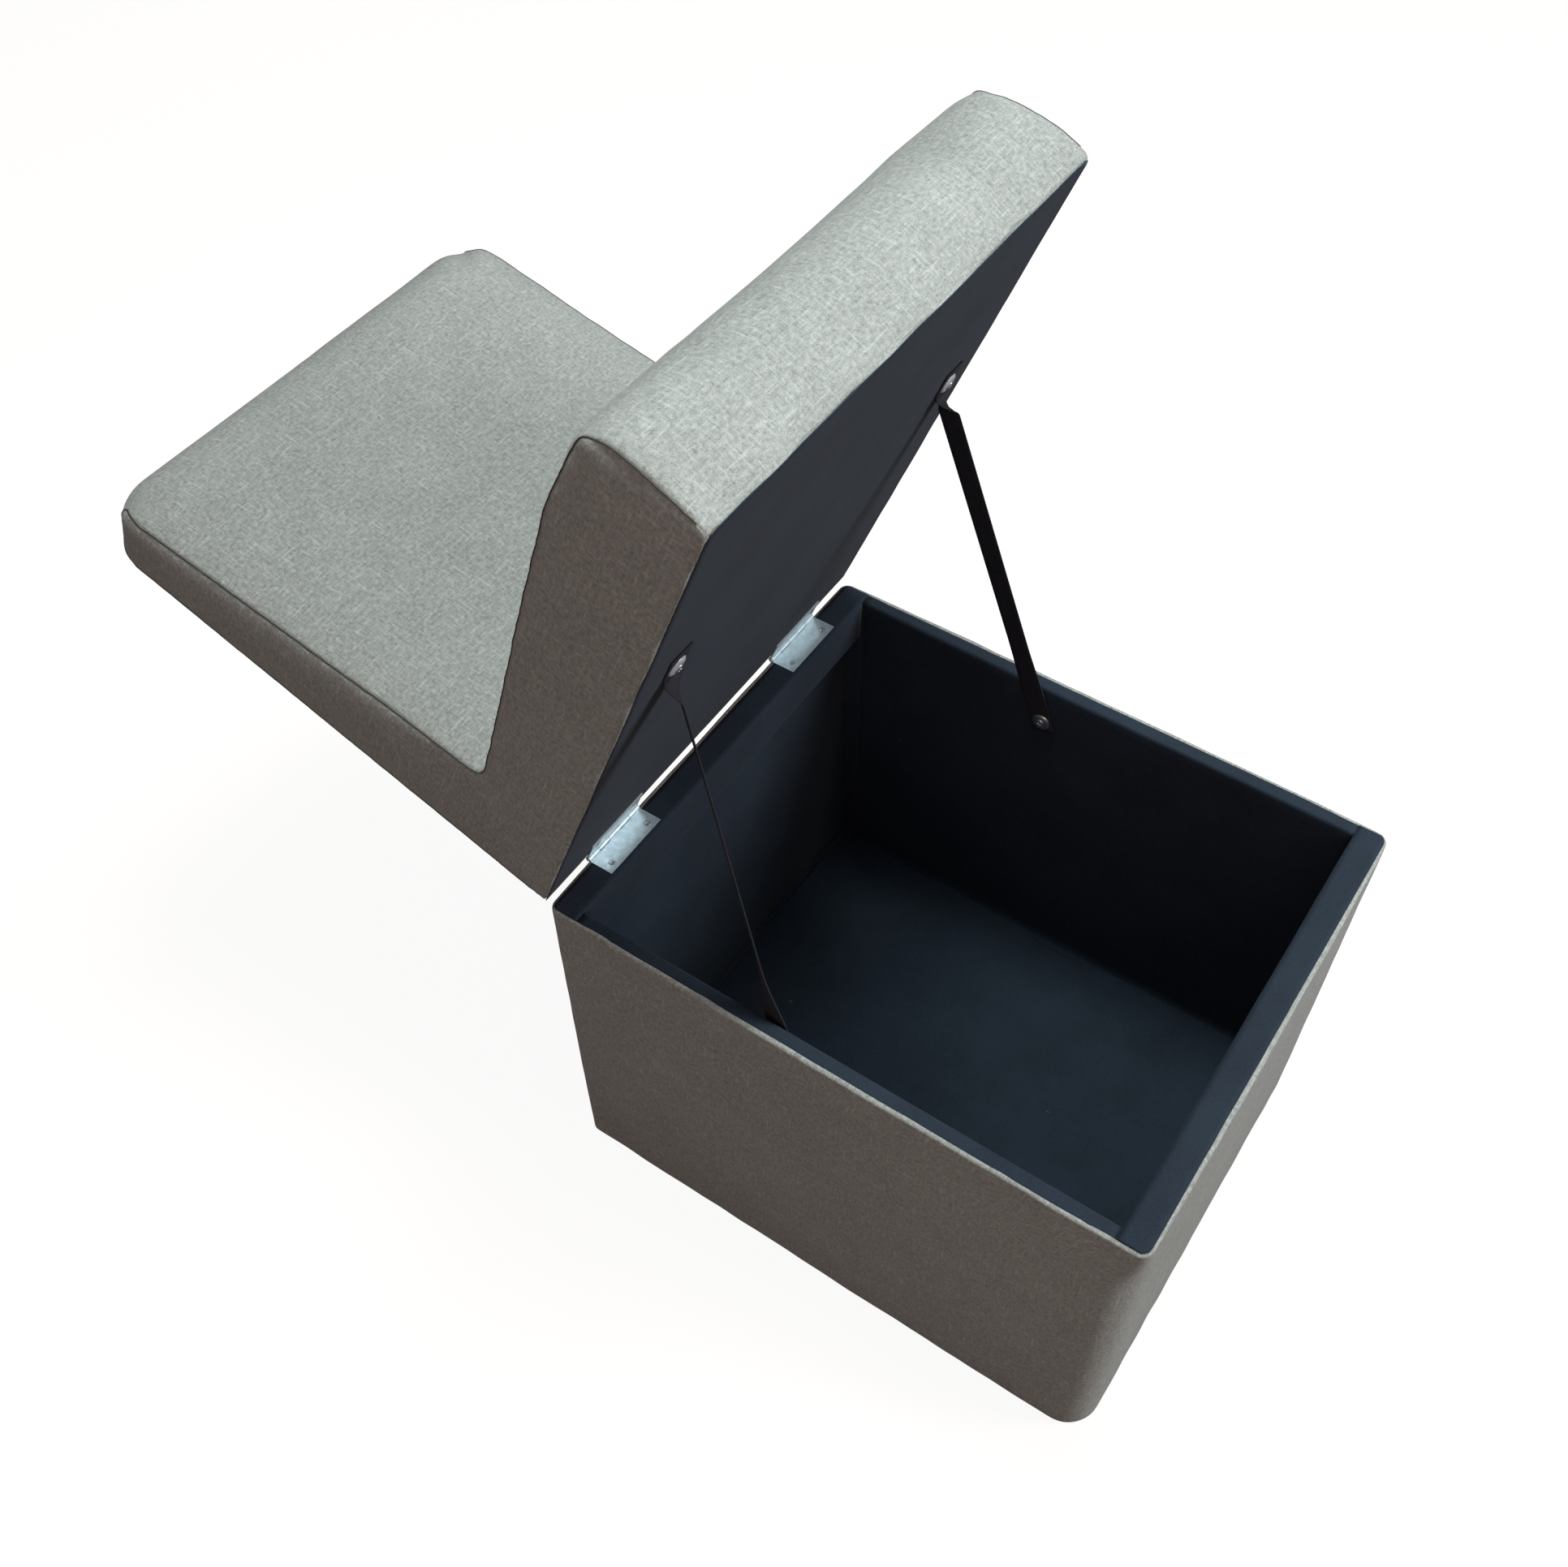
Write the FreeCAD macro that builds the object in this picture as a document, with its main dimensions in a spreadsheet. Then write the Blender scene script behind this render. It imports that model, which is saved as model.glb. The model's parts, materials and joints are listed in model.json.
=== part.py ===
import FreeCAD, Part
import os
import re
import Sketcher
from FreeCAD import Placement, Rotation, Vector

# A storage seat: an upholstered, open-topped box and a padded lid shaped like an L, which is
# the seat and the backrest in one. Two butt hinges join them along the box's rear top edge and
# two webbing straps stop the lid. X is the width, -Y the front and +Z up; the origin is the
# centre of the box's footprint on the floor. The lid is drawn shut, measured from the hinge
# axis, and every lid piece is then swung open by openAngle.

dimensions = {
    # the upholstered box
    "boxWidth": 420,
    "boxDepth": 508,
    "boxHeight": 357,
    "coverThick": 1.2,
    "waddingThick": 2.3,
    "frontFoamThick": 4.3,
    "boardThick": 9,
    "frontRailDepth": 9,
    "rearRailDepth": 13,
    "railHeight": 40,
    "postWidth": 24,
    "postChamfer": 14,
    "dustClothThick": 1,
    "hemWidth": 30,
    "rollWidth": 5,
    "rollChamfer": 9,
    "frontCornerRadius": 30,
    "rearCornerRadius": 8,
    "rimRadius": 3,
    "liningThick": 0.6,
    "liningFold": 1.2,
    # the lid, which is the seat and the backrest
    "openAngle": 69.5,
    "lidGap": 1.7,
    "axisBehind": 1,
    "lidWidth": 420,
    "lidLength": 508,
    "seatThick": 94,
    "backHeight": 441,
    "backBaseDepth": 105,
    "backTopDepth": 55,
    "noseRadius": 34,
    "backFrontRadius": 20,
    "backRearRadius": 24,
    "underRadius": 4,
    "creaseRadius": 6,
    "lidClothThick": 0.6,
    "lidClothInset": 5,
    "seatBoardThick": 12,
    "seatBoardInset": 4,
    "stileWidth": 18,
    "stileDepth": 30,
    "hardboardThick": 3,
    "backPadThick": 2.3,
    "topPadThick": 24,
    "frameScrewLength": 45,
    "frameScrewInset": 60,
    "panelScrewLength": 30,
    "panelScrewInset": 40,
    # butt hinges
    "hingeLength": 63.5,
    "hingeSpread": 126,
    "leafWidth": 23,
    "leafThick": 1.2,
    "knuckleRadius": 2.4,
    "pinRadius": 1.2,
    "pinClearance": 0.05,
    "knuckleGap": 0.4,
    "leafScrewSpread": 46,
    "leafScrewInset": 16.5,
    "screwHeadRadius": 2.8,
    "screwHeadHeight": 1,
    "screwRadius": 1.6,
    "screwSlack": 0.2,
    "screwLength": 16,
    # webbing straps and what holds them
    "strapWidth": 22,
    "strapThick": 1.2,
    "strapGap": 0.3,
    "strapBehind": 211.1,
    "strapDrop": 41.5,
    "lidAnchorReach": 316,
    "lidAnchorSpread": 164,
    "tabLength": 24,
    "pivotInset": 9.5,
    "pivotDrop": 1,
    "washerRadius": 8.5,
    "washerHeight": 1.7,
    "washerHole": 2.2,
    "anchorScrewRadius": 1.9,
    "anchorHeadRadius": 4,
    "anchorHeadHeight": 1.8,
    "anchorScrewLength": 9,
}

# places worked out from the dimensions, each a formula of the cells above it
formulas = {
    "halfWidth": "boxWidth / 2",
    "halfDepth": "boxDepth / 2",
    "panelX": "halfWidth - coverThick - waddingThick",
    "panelFront": "-halfDepth + coverThick + frontFoamThick",
    "panelRear": "halfDepth - coverThick - waddingThick",
    "wallX": "panelX - boardThick",
    "wallFront": "panelFront + boardThick",
    "wallRear": "panelRear - boardThick",
    "railFront": "wallFront + frontRailDepth",
    "railRear": "wallRear - rearRailDepth",
    "foamEnd": "-halfDepth + frontCornerRadius + 1",
    "bottomLow": "dustClothThick + coverThick",
    "bottomTop": "bottomLow + boardThick",
    "boardTop": "boxHeight - coverThick",
    "padTop": "boardTop - rimRadius",
    "railLow": "boardTop - railHeight",
    "hingeY": "halfDepth + axisBehind",
    "hingeZ": "boxHeight + lidGap",
    "lidHalf": "lidWidth / 2",
    "lidLow": "lidGap + lidClothThick",
    "lidRear": "-axisBehind",
    "lidFront": "-axisBehind - lidLength",
    "lidTop": "lidGap + seatThick",
    "backTop": "lidGap + backHeight",
    "backFrontLow": "-axisBehind - backBaseDepth",
    "backFrontHigh": "-axisBehind - backTopDepth",
    "boardLow": "lidLow + coverThick",
    "seatBoardTop": "boardLow + seatBoardThick",
    "lidInner": "lidHalf - coverThick",
    "rearBoardY": "lidRear - coverThick - backPadThick",
    "stileRearY": "rearBoardY - hardboardThick",
    "stileFrontY": "stileRearY - stileDepth",
    "foamRearY": "stileFrontY - hardboardThick",
    "frameX": "lidInner - backPadThick",
    "stileTop": "backTop - coverThick - topPadThick",
    "anchorY": "hingeY - strapBehind",
    "anchorZ": "hingeZ - strapDrop",
    "strapOuterX": "wallX - liningThick - strapGap",
    "strapInnerX": "strapOuterX - strapThick",
    "lidAnchorY": "-axisBehind - lidAnchorReach",
    "pivotY": "lidAnchorY + pivotInset",
    "pivotZ": "lidGap - pivotDrop",
    "pivotWorldY": "hingeY + pivotY * cos(openAngle) + pivotZ * sin(openAngle)",
    "pivotWorldZ": "hingeZ - pivotY * sin(openAngle) + pivotZ * cos(openAngle)",
    "strapRise": "pivotWorldZ - anchorZ",
    "strapRun": "pivotWorldY - anchorY",
    "strapHalf": "sqrt(strapRise ^ 2 + strapRun ^ 2) / 2",
}

doc = FreeCAD.newDocument("StorageSeat")
sheet = doc.addObject("Spreadsheet::Sheet", "Spec")
bench = doc.addObject("Spreadsheet::Sheet", "Bench")
for row, (name, value) in enumerate(dimensions.items(), start=1):
    sheet.set(f"A{row}", name)
    sheet.set(f"B{row}", str(value))
    sheet.setAlias(f"B{row}", name)
for row, (name, formula) in enumerate(formulas.items(), start=len(dimensions) + 1):
    sheet.set(f"A{row}", name)
    sheet.set(f"B{row}", "=" + formula)
    sheet.setAlias(f"B{row}", name)
doc.recompute()

cells = "|".join(list(dimensions) + list(formulas))
subParts = []
worked = {}


def bound(text):
    """The same formula with every cell named through the sheet."""
    return re.sub(rf"\b({cells})\b", r"Spec.\1", text)


def number(text):
    """The value of a formula, worked out in the bench sheet's one cell."""
    if text not in worked:
        bench.set("A1", "=" + bound(text))
        bench.recompute()
        value = bench.get("A1")
        worked[text] = float(getattr(value, "Value", value))
    return worked[text]


def keep(item, label):
    item.Label = label
    subParts.append(item)
    return item


def bind(item, prop, text):
    item.setExpression(prop, bound(text))


def place(item, x="0", y="0", z="0", angle="0"):
    """Put an object at a point, turned about the X axis."""
    base = Vector(number(x), number(y), number(z))
    item.Placement = Placement(base, Rotation(Vector(1, 0, 0), number(angle)))
    for axis, text in (("x", x), ("y", y), ("z", z)):
        bind(item, f"Placement.Base.{axis}", text)
    if angle != "0":
        bind(item, "Placement.Rotation.Angle", angle)


def hang(item):
    """A lid piece is drawn shut about the hinge axis and swung open."""
    place(item, "0", "hingeY", "hingeZ", "-openAngle")


def block(label, low, high):
    """A rectangular piece from its lowest corner to its highest."""
    box = doc.addObject("Part::Box", label)
    place(box, *low)
    for prop, start, end in zip(("Length", "Width", "Height"), low, high):
        bind(box, prop, f"({end}) - ({start})")
    return keep(box, label)


def startBody(label):
    return keep(doc.addObject("PartDesign::Body", label), label)


def startSketch(body, name, plane, offset="0"):
    sketch = body.newObject("Sketcher::SketchObject", name)
    role = plane + "_Plane"
    origin = [item for item in body.Origin.OriginFeatures if item.Role == role][0]
    sketch.AttachmentSupport = [(origin, "")]
    sketch.MapMode = "FlatFace"
    sketch.AttachmentOffset = Placement(Vector(0, 0, number(offset)), Rotation())
    bind(sketch, "AttachmentOffset.Base.z", offset)
    return sketch


def drawLoop(sketch, points):
    """A closed outline of straight lines, each corner held by two bound distances."""
    corners = [Vector(number(x), number(y), 0) for x, y in points]
    first = sketch.GeometryCount
    for start, end in zip(corners, corners[1:] + corners[:1]):
        sketch.addGeometry(Part.LineSegment(start, end), False)
    for index in range(len(points)):
        following = first + (index + 1) % len(points)
        sketch.addConstraint(Sketcher.Constraint("Coincident", first + index, 2, following, 1))
    for index, corner in enumerate(points):
        for kind, text in zip(("DistanceX", "DistanceY"), corner):
            if abs(number(text)) < 1e-9:
                target = -2 if kind == "DistanceX" else -1
                rule = Sketcher.Constraint("PointOnObject", first + index, 1, target)
                sketch.addConstraint(rule)
                continue
            rule = Sketcher.Constraint(kind, -1, 1, first + index, 1, number(text))
            made = sketch.addConstraint(rule)
            bind(sketch, f"Constraints[{made}]", text)


def drawCircle(sketch, x, y, radius):
    centre = Vector(number(x), number(y), 0)
    made = sketch.addGeometry(Part.Circle(centre, Vector(0, 0, 1), number(radius)))
    size = sketch.addConstraint(Sketcher.Constraint("Radius", made, number(radius)))
    bind(sketch, f"Constraints[{size}]", radius)
    for kind, text in (("DistanceX", x), ("DistanceY", y)):
        if abs(number(text)) < 1e-9:
            target = -2 if kind == "DistanceX" else -1
            sketch.addConstraint(Sketcher.Constraint("PointOnObject", made, 3, target))
            continue
        rule = sketch.addConstraint(Sketcher.Constraint(kind, -1, 1, made, 3, number(text)))
        bind(sketch, f"Constraints[{rule}]", text)


def pad(body, name, sketch, length, symmetric=False):
    feature = body.newObject("PartDesign::Pad", name)
    feature.Profile = sketch
    feature.SideType = "Symmetric" if symmetric else "One side"
    bind(feature, "Length", length)
    doc.recompute()
    return feature


def pocket(body, name, sketch, length, symmetric=False, reverse=False):
    before = body.Shape.Volume
    feature = body.newObject("PartDesign::Pocket", name)
    feature.Profile = sketch
    feature.SideType = "Symmetric" if symmetric else "One side"
    feature.Reversed = reverse
    bind(feature, "Length", length)
    doc.recompute()
    if body.Shape.Volume > before - 1e-3:
        raise RuntimeError(f"{body.Label}: {name} cuts nothing")
    return feature


def fillet(body, name, radius, wanted):
    """Round the edges of the body's last feature whose middle point passes the test."""
    base = body.Tip
    edges = []
    for index, edge in enumerate(base.Shape.Edges, start=1):
        if wanted(edge, edge.valueAt((edge.FirstParameter + edge.LastParameter) / 2)):
            edges.append(f"Edge{index}")
    feature = body.newObject("PartDesign::Fillet", name)
    feature.Base = (base, edges)
    bind(feature, "Radius", radius)
    doc.recompute()
    return feature


def near(value, text, slack=0.01):
    return abs(value - number(text)) < slack


def runsAlong(edge, axis):
    start, end = edge.Vertexes[0].Point, edge.Vertexes[-1].Point
    return edge.Length > 1e-6 and abs((end - start).dot(axis)) > edge.Length * 0.999


def slab(label, plane, points, start, end, onLid=False):
    """A plain outline padded from one level to another."""
    body = startBody(label)
    sketch = startSketch(body, label + "Outline", plane, start)
    drawLoop(sketch, points)
    pad(body, label + "Pad", sketch, f"({end}) - ({start})")
    if onLid:
        hang(body)
    return body


def rectangle(low, high):
    return [low, (high[0], low[1]), high, (low[0], high[1])]


def lidBlock(label, low, high):
    """A rectangular lid piece, given by its corners about the hinge axis."""
    points = rectangle(low[1:], high[1:])
    return slab(label, "YZ", points, low[0], high[0], onLid=True)


# --- the box: boards, rails and posts ---------------------------------------------------------

def makeBoxFrame():
    cut = "postChamfer"
    slab("bottom_panel", "XY", [
        ("-panelX", "panelRear"), ("-panelX", f"panelFront + {cut}"),
        (f"-panelX + {cut}", "panelFront"), (f"panelX - {cut}", "panelFront"),
        ("panelX", f"panelFront + {cut}"), ("panelX", "panelRear"),
    ], "bottomLow", "bottomTop")
    block("left_wall", ("-panelX", "railFront", "bottomTop"), ("-wallX", "wallRear", "boardTop"))
    block("right_wall", ("wallX", "railFront", "bottomTop"), ("panelX", "wallRear", "boardTop"))
    block("rear_wall", ("-panelX", "wallRear", "bottomTop"), ("panelX", "panelRear", "boardTop"))
    inner = "panelX - postWidth"
    block("front_wall", (f"-({inner})", "panelFront", "bottomTop"),
          (inner, "wallFront", "boardTop"))
    block("front_top_rail", (f"-({inner})", "wallFront", "railLow"),
          (inner, "railFront", "boardTop"))
    block("rear_top_rail", ("-wallX", "railRear", "railLow"), ("wallX", "wallRear", "boardTop"))
    for side, sign in (("left", "-"), ("right", "")):
        slab(f"{side}_front_post", "XY", [
            (f"{sign}({inner})", "panelFront"), (f"{sign}({inner})", "railFront"),
            (f"{sign}panelX", "railFront"), (f"{sign}panelX", f"panelFront + {cut}"),
            (f"{sign}(panelX - {cut})", "panelFront"),
        ], "bottomTop", "boardTop")


def makeBoxPadding():
    inside = "halfWidth - coverThick"
    body = startBody("front_foam")
    sketch = startSketch(body, "frontFoamOutline", "XY", "bottomTop")
    drawLoop(sketch, rectangle((f"-({inside})", "-halfDepth + coverThick"), (inside, "foamEnd")))
    pad(body, "frontFoamPad", sketch, "padTop - bottomTop")
    upright = Vector(0, 0, 1)
    fillet(body, "frontFoamRound", "frontCornerRadius - coverThick",
           lambda edge, mid: runsAlong(edge, upright) and near(mid.y, "-halfDepth + coverThick"))
    core = startSketch(body, "frontFoamCore", "XY", "padTop")
    cut = "postChamfer"
    drawLoop(core, [
        ("-panelX", "foamEnd + 1"), ("-panelX", f"panelFront + {cut}"),
        (f"-panelX + {cut}", "panelFront"), (f"panelX - {cut}", "panelFront"),
        ("panelX", f"panelFront + {cut}"), ("panelX", "foamEnd + 1"),
    ])
    pocket(body, "frontFoamCut", core, "padTop - bottomTop")
    for side, low, high in (("left", f"-({inside})", "-panelX"), ("right", "panelX", inside)):
        block(f"{side}_wadding", (low, "foamEnd", "bottomTop"),
              (high, "panelRear - rearCornerRadius", "padTop"))
    reach = "panelX - rearCornerRadius"
    block("rear_wadding", (f"-({reach})", "panelRear", "bottomTop"),
          (reach, "halfDepth - coverThick", "padTop"))


def makeBoxCover():
    """One fabric sleeve: round corners, rolled over the rim and hemmed under the bottom."""
    body = startBody("box_cover")
    outline = startSketch(body, "coverOutline", "XY", "dustClothThick")
    drawLoop(outline, rectangle(("-halfWidth", "-halfDepth"), ("halfWidth", "halfDepth")))
    pad(body, "coverPad", outline, "boxHeight - dustClothThick")
    upright = Vector(0, 0, 1)
    fillet(body, "coverFrontCorners", "frontCornerRadius",
           lambda edge, mid: runsAlong(edge, upright) and near(mid.y, "-halfDepth"))
    fillet(body, "coverRearCorners", "rearCornerRadius",
           lambda edge, mid: runsAlong(edge, upright) and near(mid.y, "halfDepth"))
    fillet(body, "coverRim", "rimRadius", lambda edge, mid: near(mid.z, "boxHeight"))
    base = body.Tip
    under = [f"Face{index}" for index, face in enumerate(base.Shape.Faces, start=1)
             if near(face.CenterOfMass.z, "dustClothThick")]
    shell = body.newObject("PartDesign::Thickness", "coverShell")
    shell.Base = (base, under)
    shell.Reversed = True
    bind(shell, "Value", "coverThick")
    doc.recompute()
    window = startSketch(body, "coverMouth", "XY", "boxHeight")
    drawLoop(window, chamfered("halfWidth - rollWidth", "halfDepth - rollWidth", "rollChamfer"))
    pocket(body, "coverMouthCut", window, "coverThick * 2")
    hem = startSketch(body, "coverHem", "XY", "dustClothThick")
    drawLoop(hem, chamfered("halfWidth - coverThick / 2", "halfDepth - coverThick / 2",
                            "rollChamfer"))
    drawLoop(hem, rectangle(("-halfWidth + hemWidth", "-halfDepth + hemWidth"),
                            ("halfWidth - hemWidth", "halfDepth - hemWidth")))
    pad(body, "coverHemPad", hem, "coverThick")
    block("bottom_dust_cloth", ("-halfWidth + rollWidth", "-halfDepth + rollWidth", "0"),
          ("halfWidth - rollWidth", "halfDepth - rollWidth", "dustClothThick"))


def chamfered(x, y, cut):
    """A rectangle about the origin whose front corners are cut off."""
    return [
        (f"-({x})", y), (f"-({x})", f"-({y}) + {cut}"), (f"-({x}) + {cut}", f"-({y})"),
        (f"{x} - {cut}", f"-({y})"), (x, f"-({y}) + {cut}"), (x, y),
    ]


def makeBoxLining():
    """Black cloth on the inside: sheets on the walls and floor, folded double over the rim."""
    thick = "liningThick"
    edge = "halfWidth - rollWidth"
    top = "boardTop + liningFold"
    for side, sign in (("left", "-"), ("right", "")):
        slab(f"{side}_lining", "XZ", [
            (f"{sign}(wallX - {thick})", f"bottomTop + {thick}"),
            (f"{sign}(wallX - {thick})", top), (f"{sign}({edge})", top),
            (f"{sign}({edge})", "boardTop"), (f"{sign}wallX", "boardTop"),
            (f"{sign}wallX", f"bottomTop + {thick}"),
        ], f"-railRear + {thick}", f"-railFront - {thick}")
    reach = f"wallX - {thick}"
    front = "-halfDepth + rollWidth"
    rear = "halfDepth - rollWidth"
    edge = "halfWidth - rollWidth - rollChamfer"
    slab("front_rail_lining", "YZ", [
        (front, "boardTop"), (front, top), (f"railFront + {thick}", top),
        (f"railFront + {thick}", "railLow"), ("railFront", "railLow"), ("railFront", "boardTop"),
    ], f"-({edge})", edge)
    slab("rear_rail_lining", "YZ", [
        (rear, "boardTop"), (rear, top), (f"railRear - {thick}", top),
        (f"railRear - {thick}", "railLow"), ("railRear", "railLow"), ("railRear", "boardTop"),
    ], f"-({edge})", edge)
    post = f"panelX - postWidth - {thick}"
    block("front_lining", (f"-({post})", "wallFront", f"bottomTop + {thick}"),
          (post, f"wallFront + {thick}", "railLow"))
    block("rear_lining", (f"-({reach})", f"wallRear - {thick}", f"bottomTop + {thick}"),
          (reach, "wallRear", "railLow"))
    block("floor_lining", ("-wallX", "railFront", "bottomTop"),
          ("wallX", "wallRear", f"bottomTop + {thick}"))


# --- the lid: board, backrest frame, foam and cover -------------------------------------------

def lidOutline():
    return [
        ("lidRear", "lidLow"), ("lidFront", "lidLow"), ("lidFront", "lidTop"),
        ("backFrontLow", "lidTop"), ("backFrontHigh", "backTop"), ("lidRear", "backTop"),
    ]


def roundLid(body, name):
    """The lid's long edges: nose, backrest top, underside and the crease of the seat."""
    cross = Vector(1, 0, 0)
    rounds = (
        ("Nose", "noseRadius", "lidFront", "lidTop"),
        ("BackFront", "backFrontRadius", "backFrontHigh", "backTop"),
        ("BackRear", "backRearRadius", "lidRear", "backTop"),
        ("UnderFront", "underRadius", "lidFront", "lidLow"),
        ("UnderRear", "underRadius", "lidRear", "lidLow"),
        ("Crease", "creaseRadius", "backFrontLow", "lidTop"),
    )
    for word, radius, y, z in rounds:
        fillet(body, name + word, radius,
               lambda edge, mid: runsAlong(edge, cross) and near(mid.y, y) and near(mid.z, z))


def makeLidCover():
    body = startBody("lid_wrap_cover")
    outline = startSketch(body, "wrapOutline", "YZ")
    drawLoop(outline, lidOutline())
    pad(body, "wrapPad", outline, "lidInner * 2", symmetric=True)
    roundLid(body, "wrap")
    base = body.Tip
    ends = [f"Face{index}" for index, face in enumerate(base.Shape.Faces, start=1)
            if near(abs(face.CenterOfMass.x), "lidInner")]
    shell = body.newObject("PartDesign::Thickness", "wrapShell")
    shell.Base = (base, ends)
    shell.Reversed = True
    bind(shell, "Value", "coverThick")
    doc.recompute()
    window = startSketch(body, "wrapUnder", "XY", "lidLow")
    drawLoop(window, rectangle(("-lidInner + hemWidth", "lidFront + hemWidth"),
                               ("lidInner - hemWidth", "lidRear - hemWidth")))
    pocket(body, "wrapUnderCut", window, "coverThick * 2", reverse=True)
    hang(body)
    for side, start, end in (("left", "-lidHalf", "-lidInner"), ("right", "lidInner", "lidHalf")):
        panel = startBody(f"{side}_side_cover")
        sketch = startSketch(panel, f"{side}SideOutline", "YZ", start)
        drawLoop(sketch, lidOutline())
        pad(panel, f"{side}SidePad", sketch, f"({end}) - ({start})")
        roundLid(panel, side + "Side")
        hang(panel)


def makeLidInside():
    lidBlock("seat_base_panel", ("-frameX", "lidFront + seatBoardInset", "boardLow"),
             ("frameX", "lidRear - seatBoardInset", "seatBoardTop"))
    edge = "lidHalf - lidClothInset"
    lidBlock("lid_dust_cloth", (f"-({edge})", "lidFront + lidClothInset", "lidGap"),
             (edge, "lidRear - lidClothInset / 2", "lidLow"))
    stile = "frameX - stileWidth"
    for side, low, high in (("left", "-frameX", f"-({stile})"), ("right", stile, "frameX")):
        lidBlock(f"{side}_back_stile", (low, "stileFrontY", "seatBoardTop"),
                 (high, "stileRearY", "stileTop"))
    lidBlock("back_top_rail", (f"-({stile})", "stileFrontY", "stileTop - railHeight"),
             (stile, "stileRearY", "stileTop"))
    lidBlock("back_bottom_rail", (f"-({stile})", "stileFrontY", "seatBoardTop"),
             (stile, "stileRearY", "seatBoardTop + railHeight"))
    lidBlock("back_front_hardboard", ("-frameX", "foamRearY", "seatBoardTop"),
             ("frameX", "stileFrontY", "stileTop"))
    lidBlock("back_rear_hardboard", ("-frameX", "stileRearY", "seatBoardTop"),
             ("frameX", "rearBoardY", "stileTop"))


def makeFoam():
    cross = Vector(1, 0, 0)
    skin = "coverThick"
    body = slab("seat_foam", "YZ", rectangle(
        (f"lidFront + {skin}", "seatBoardTop"), (f"backFrontLow + {skin}", f"lidTop - {skin}"),
    ), "-lidInner", "lidInner", onLid=True)
    fillet(body, "seatFoamNose", f"noseRadius - {skin}", lambda edge, mid: runsAlong(edge, cross)
           and near(mid.y, f"lidFront + {skin}") and near(mid.z, f"lidTop - {skin}"))
    slope = "coverThick * 1.03"
    rear = f"lidRear - {skin}"
    body = slab("back_foam", "YZ", [
        ("foamRearY", "seatBoardTop"), (f"backFrontLow + {slope}", "seatBoardTop"),
        (f"backFrontLow + {slope}", "lidTop"), (f"backFrontHigh + {slope}", f"backTop - {skin}"),
        (rear, f"backTop - {skin}"), (rear, "stileTop"), ("foamRearY", "stileTop"),
    ], "-lidInner", "lidInner", onLid=True)
    for word, radius, y in (("Front", "backFrontRadius", f"backFrontHigh + {slope}"),
                            ("Rear", "backRearRadius", rear)):
        fillet(body, "backFoam" + word, f"{radius} - {skin}", lambda edge, mid:
               runsAlong(edge, cross) and near(mid.y, y) and near(mid.z, f"backTop - {skin}"))


# --- hinges -----------------------------------------------------------------------------------

def makeHinge(side, centre):
    """A butt hinge: two leaves with rolled knuckles on one loose pin."""
    half = "hingeLength / 2"
    fifth = "hingeLength / 5"
    for leafName, owners in (("lower_leaf", (0, 2, 4)), ("upper_leaf", (1, 3))):
        onLid = leafName == "upper_leaf"
        body = startBody(f"{side}_hinge_{leafName}")
        word = side + leafName.split("_")[0].title()
        plate = startSketch(body, word + "Plate", "YZ", f"{centre} - {half}")
        low = "lidGap - leafThick" if onLid else "-lidGap"
        rootY = "-knuckleRadius + leafThick / 2"
        drawLoop(plate, rectangle(("-leafWidth", low), (rootY, f"{low} + leafThick")))
        pad(body, word + "Pad", plate, "hingeLength")
        for index in range(5):
            start = f"{centre} - {half} + {fifth} * {index}"
            if index in owners:
                barrel = startSketch(body, f"{word}Barrel{index}", "YZ",
                                     f"{start} + knuckleGap / 2")
                drawCircle(barrel, "0", "0", "knuckleRadius")
                pad(body, f"{word}Knuckle{index}", barrel, f"{fifth} - knuckleGap")
            else:
                notch = startSketch(body, f"{word}Notch{index}", "YZ",
                                    f"{start} + {fifth} + knuckleGap / 2")
                reach = "knuckleRadius + knuckleGap"
                drawLoop(notch, rectangle((f"-({reach})", f"-({reach})"), (reach, reach)))
                pocket(body, f"{word}Gap{index}", notch, f"{fifth} + knuckleGap")
        bore = startSketch(body, word + "Bore", "YZ", f"{centre} + {half} + 1")
        drawCircle(bore, "0", "0", "pinRadius + pinClearance")
        pocket(body, word + "BoreCut", bore, "hingeLength + 2")
        outer = f"{low} + leafThick" if not onLid else low
        sink(body, word, centre, outer, onLid)
        if onLid:
            hang(body)
        else:
            place(body, "0", "hingeY", "hingeZ")
    pin = startBody(f"{side}_hinge_pin")
    circle = startSketch(pin, side + "PinCircle", "YZ", f"{centre} - {half} - 0.6")
    drawCircle(circle, "0", "0", "pinRadius")
    pad(pin, side + "PinPad", circle, "hingeLength + 1.2")
    place(pin, "0", "hingeY", "hingeZ")


def sink(body, word, centre, level, onLid):
    """Two countersunk holes through a leaf for its wood screws."""
    holes = startSketch(body, word + "Holes", "XY", level)
    for turn in ("-", "+"):
        drawCircle(holes, f"{centre} {turn} leafScrewSpread / 2", "-leafScrewInset",
                   "screwRadius + screwSlack")
    pocket(body, word + "HoleCut", holes, "leafThick", reverse=onLid)
    base = body.Tip
    rims = [f"Edge{index}" for index, edge in enumerate(base.Shape.Edges, start=1)
            if near(edge.BoundBox.ZMin, level) and near(edge.BoundBox.ZMax, level)
            and near(edge.BoundBox.XLength, "(screwRadius + screwSlack) * 2")]
    flare = body.newObject("PartDesign::Chamfer", word + "Sink")
    flare.Base = (base, rims)
    bind(flare, "Size", "screwHeadHeight")
    doc.recompute()


# --- screws, washers and straps ---------------------------------------------------------------

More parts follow.
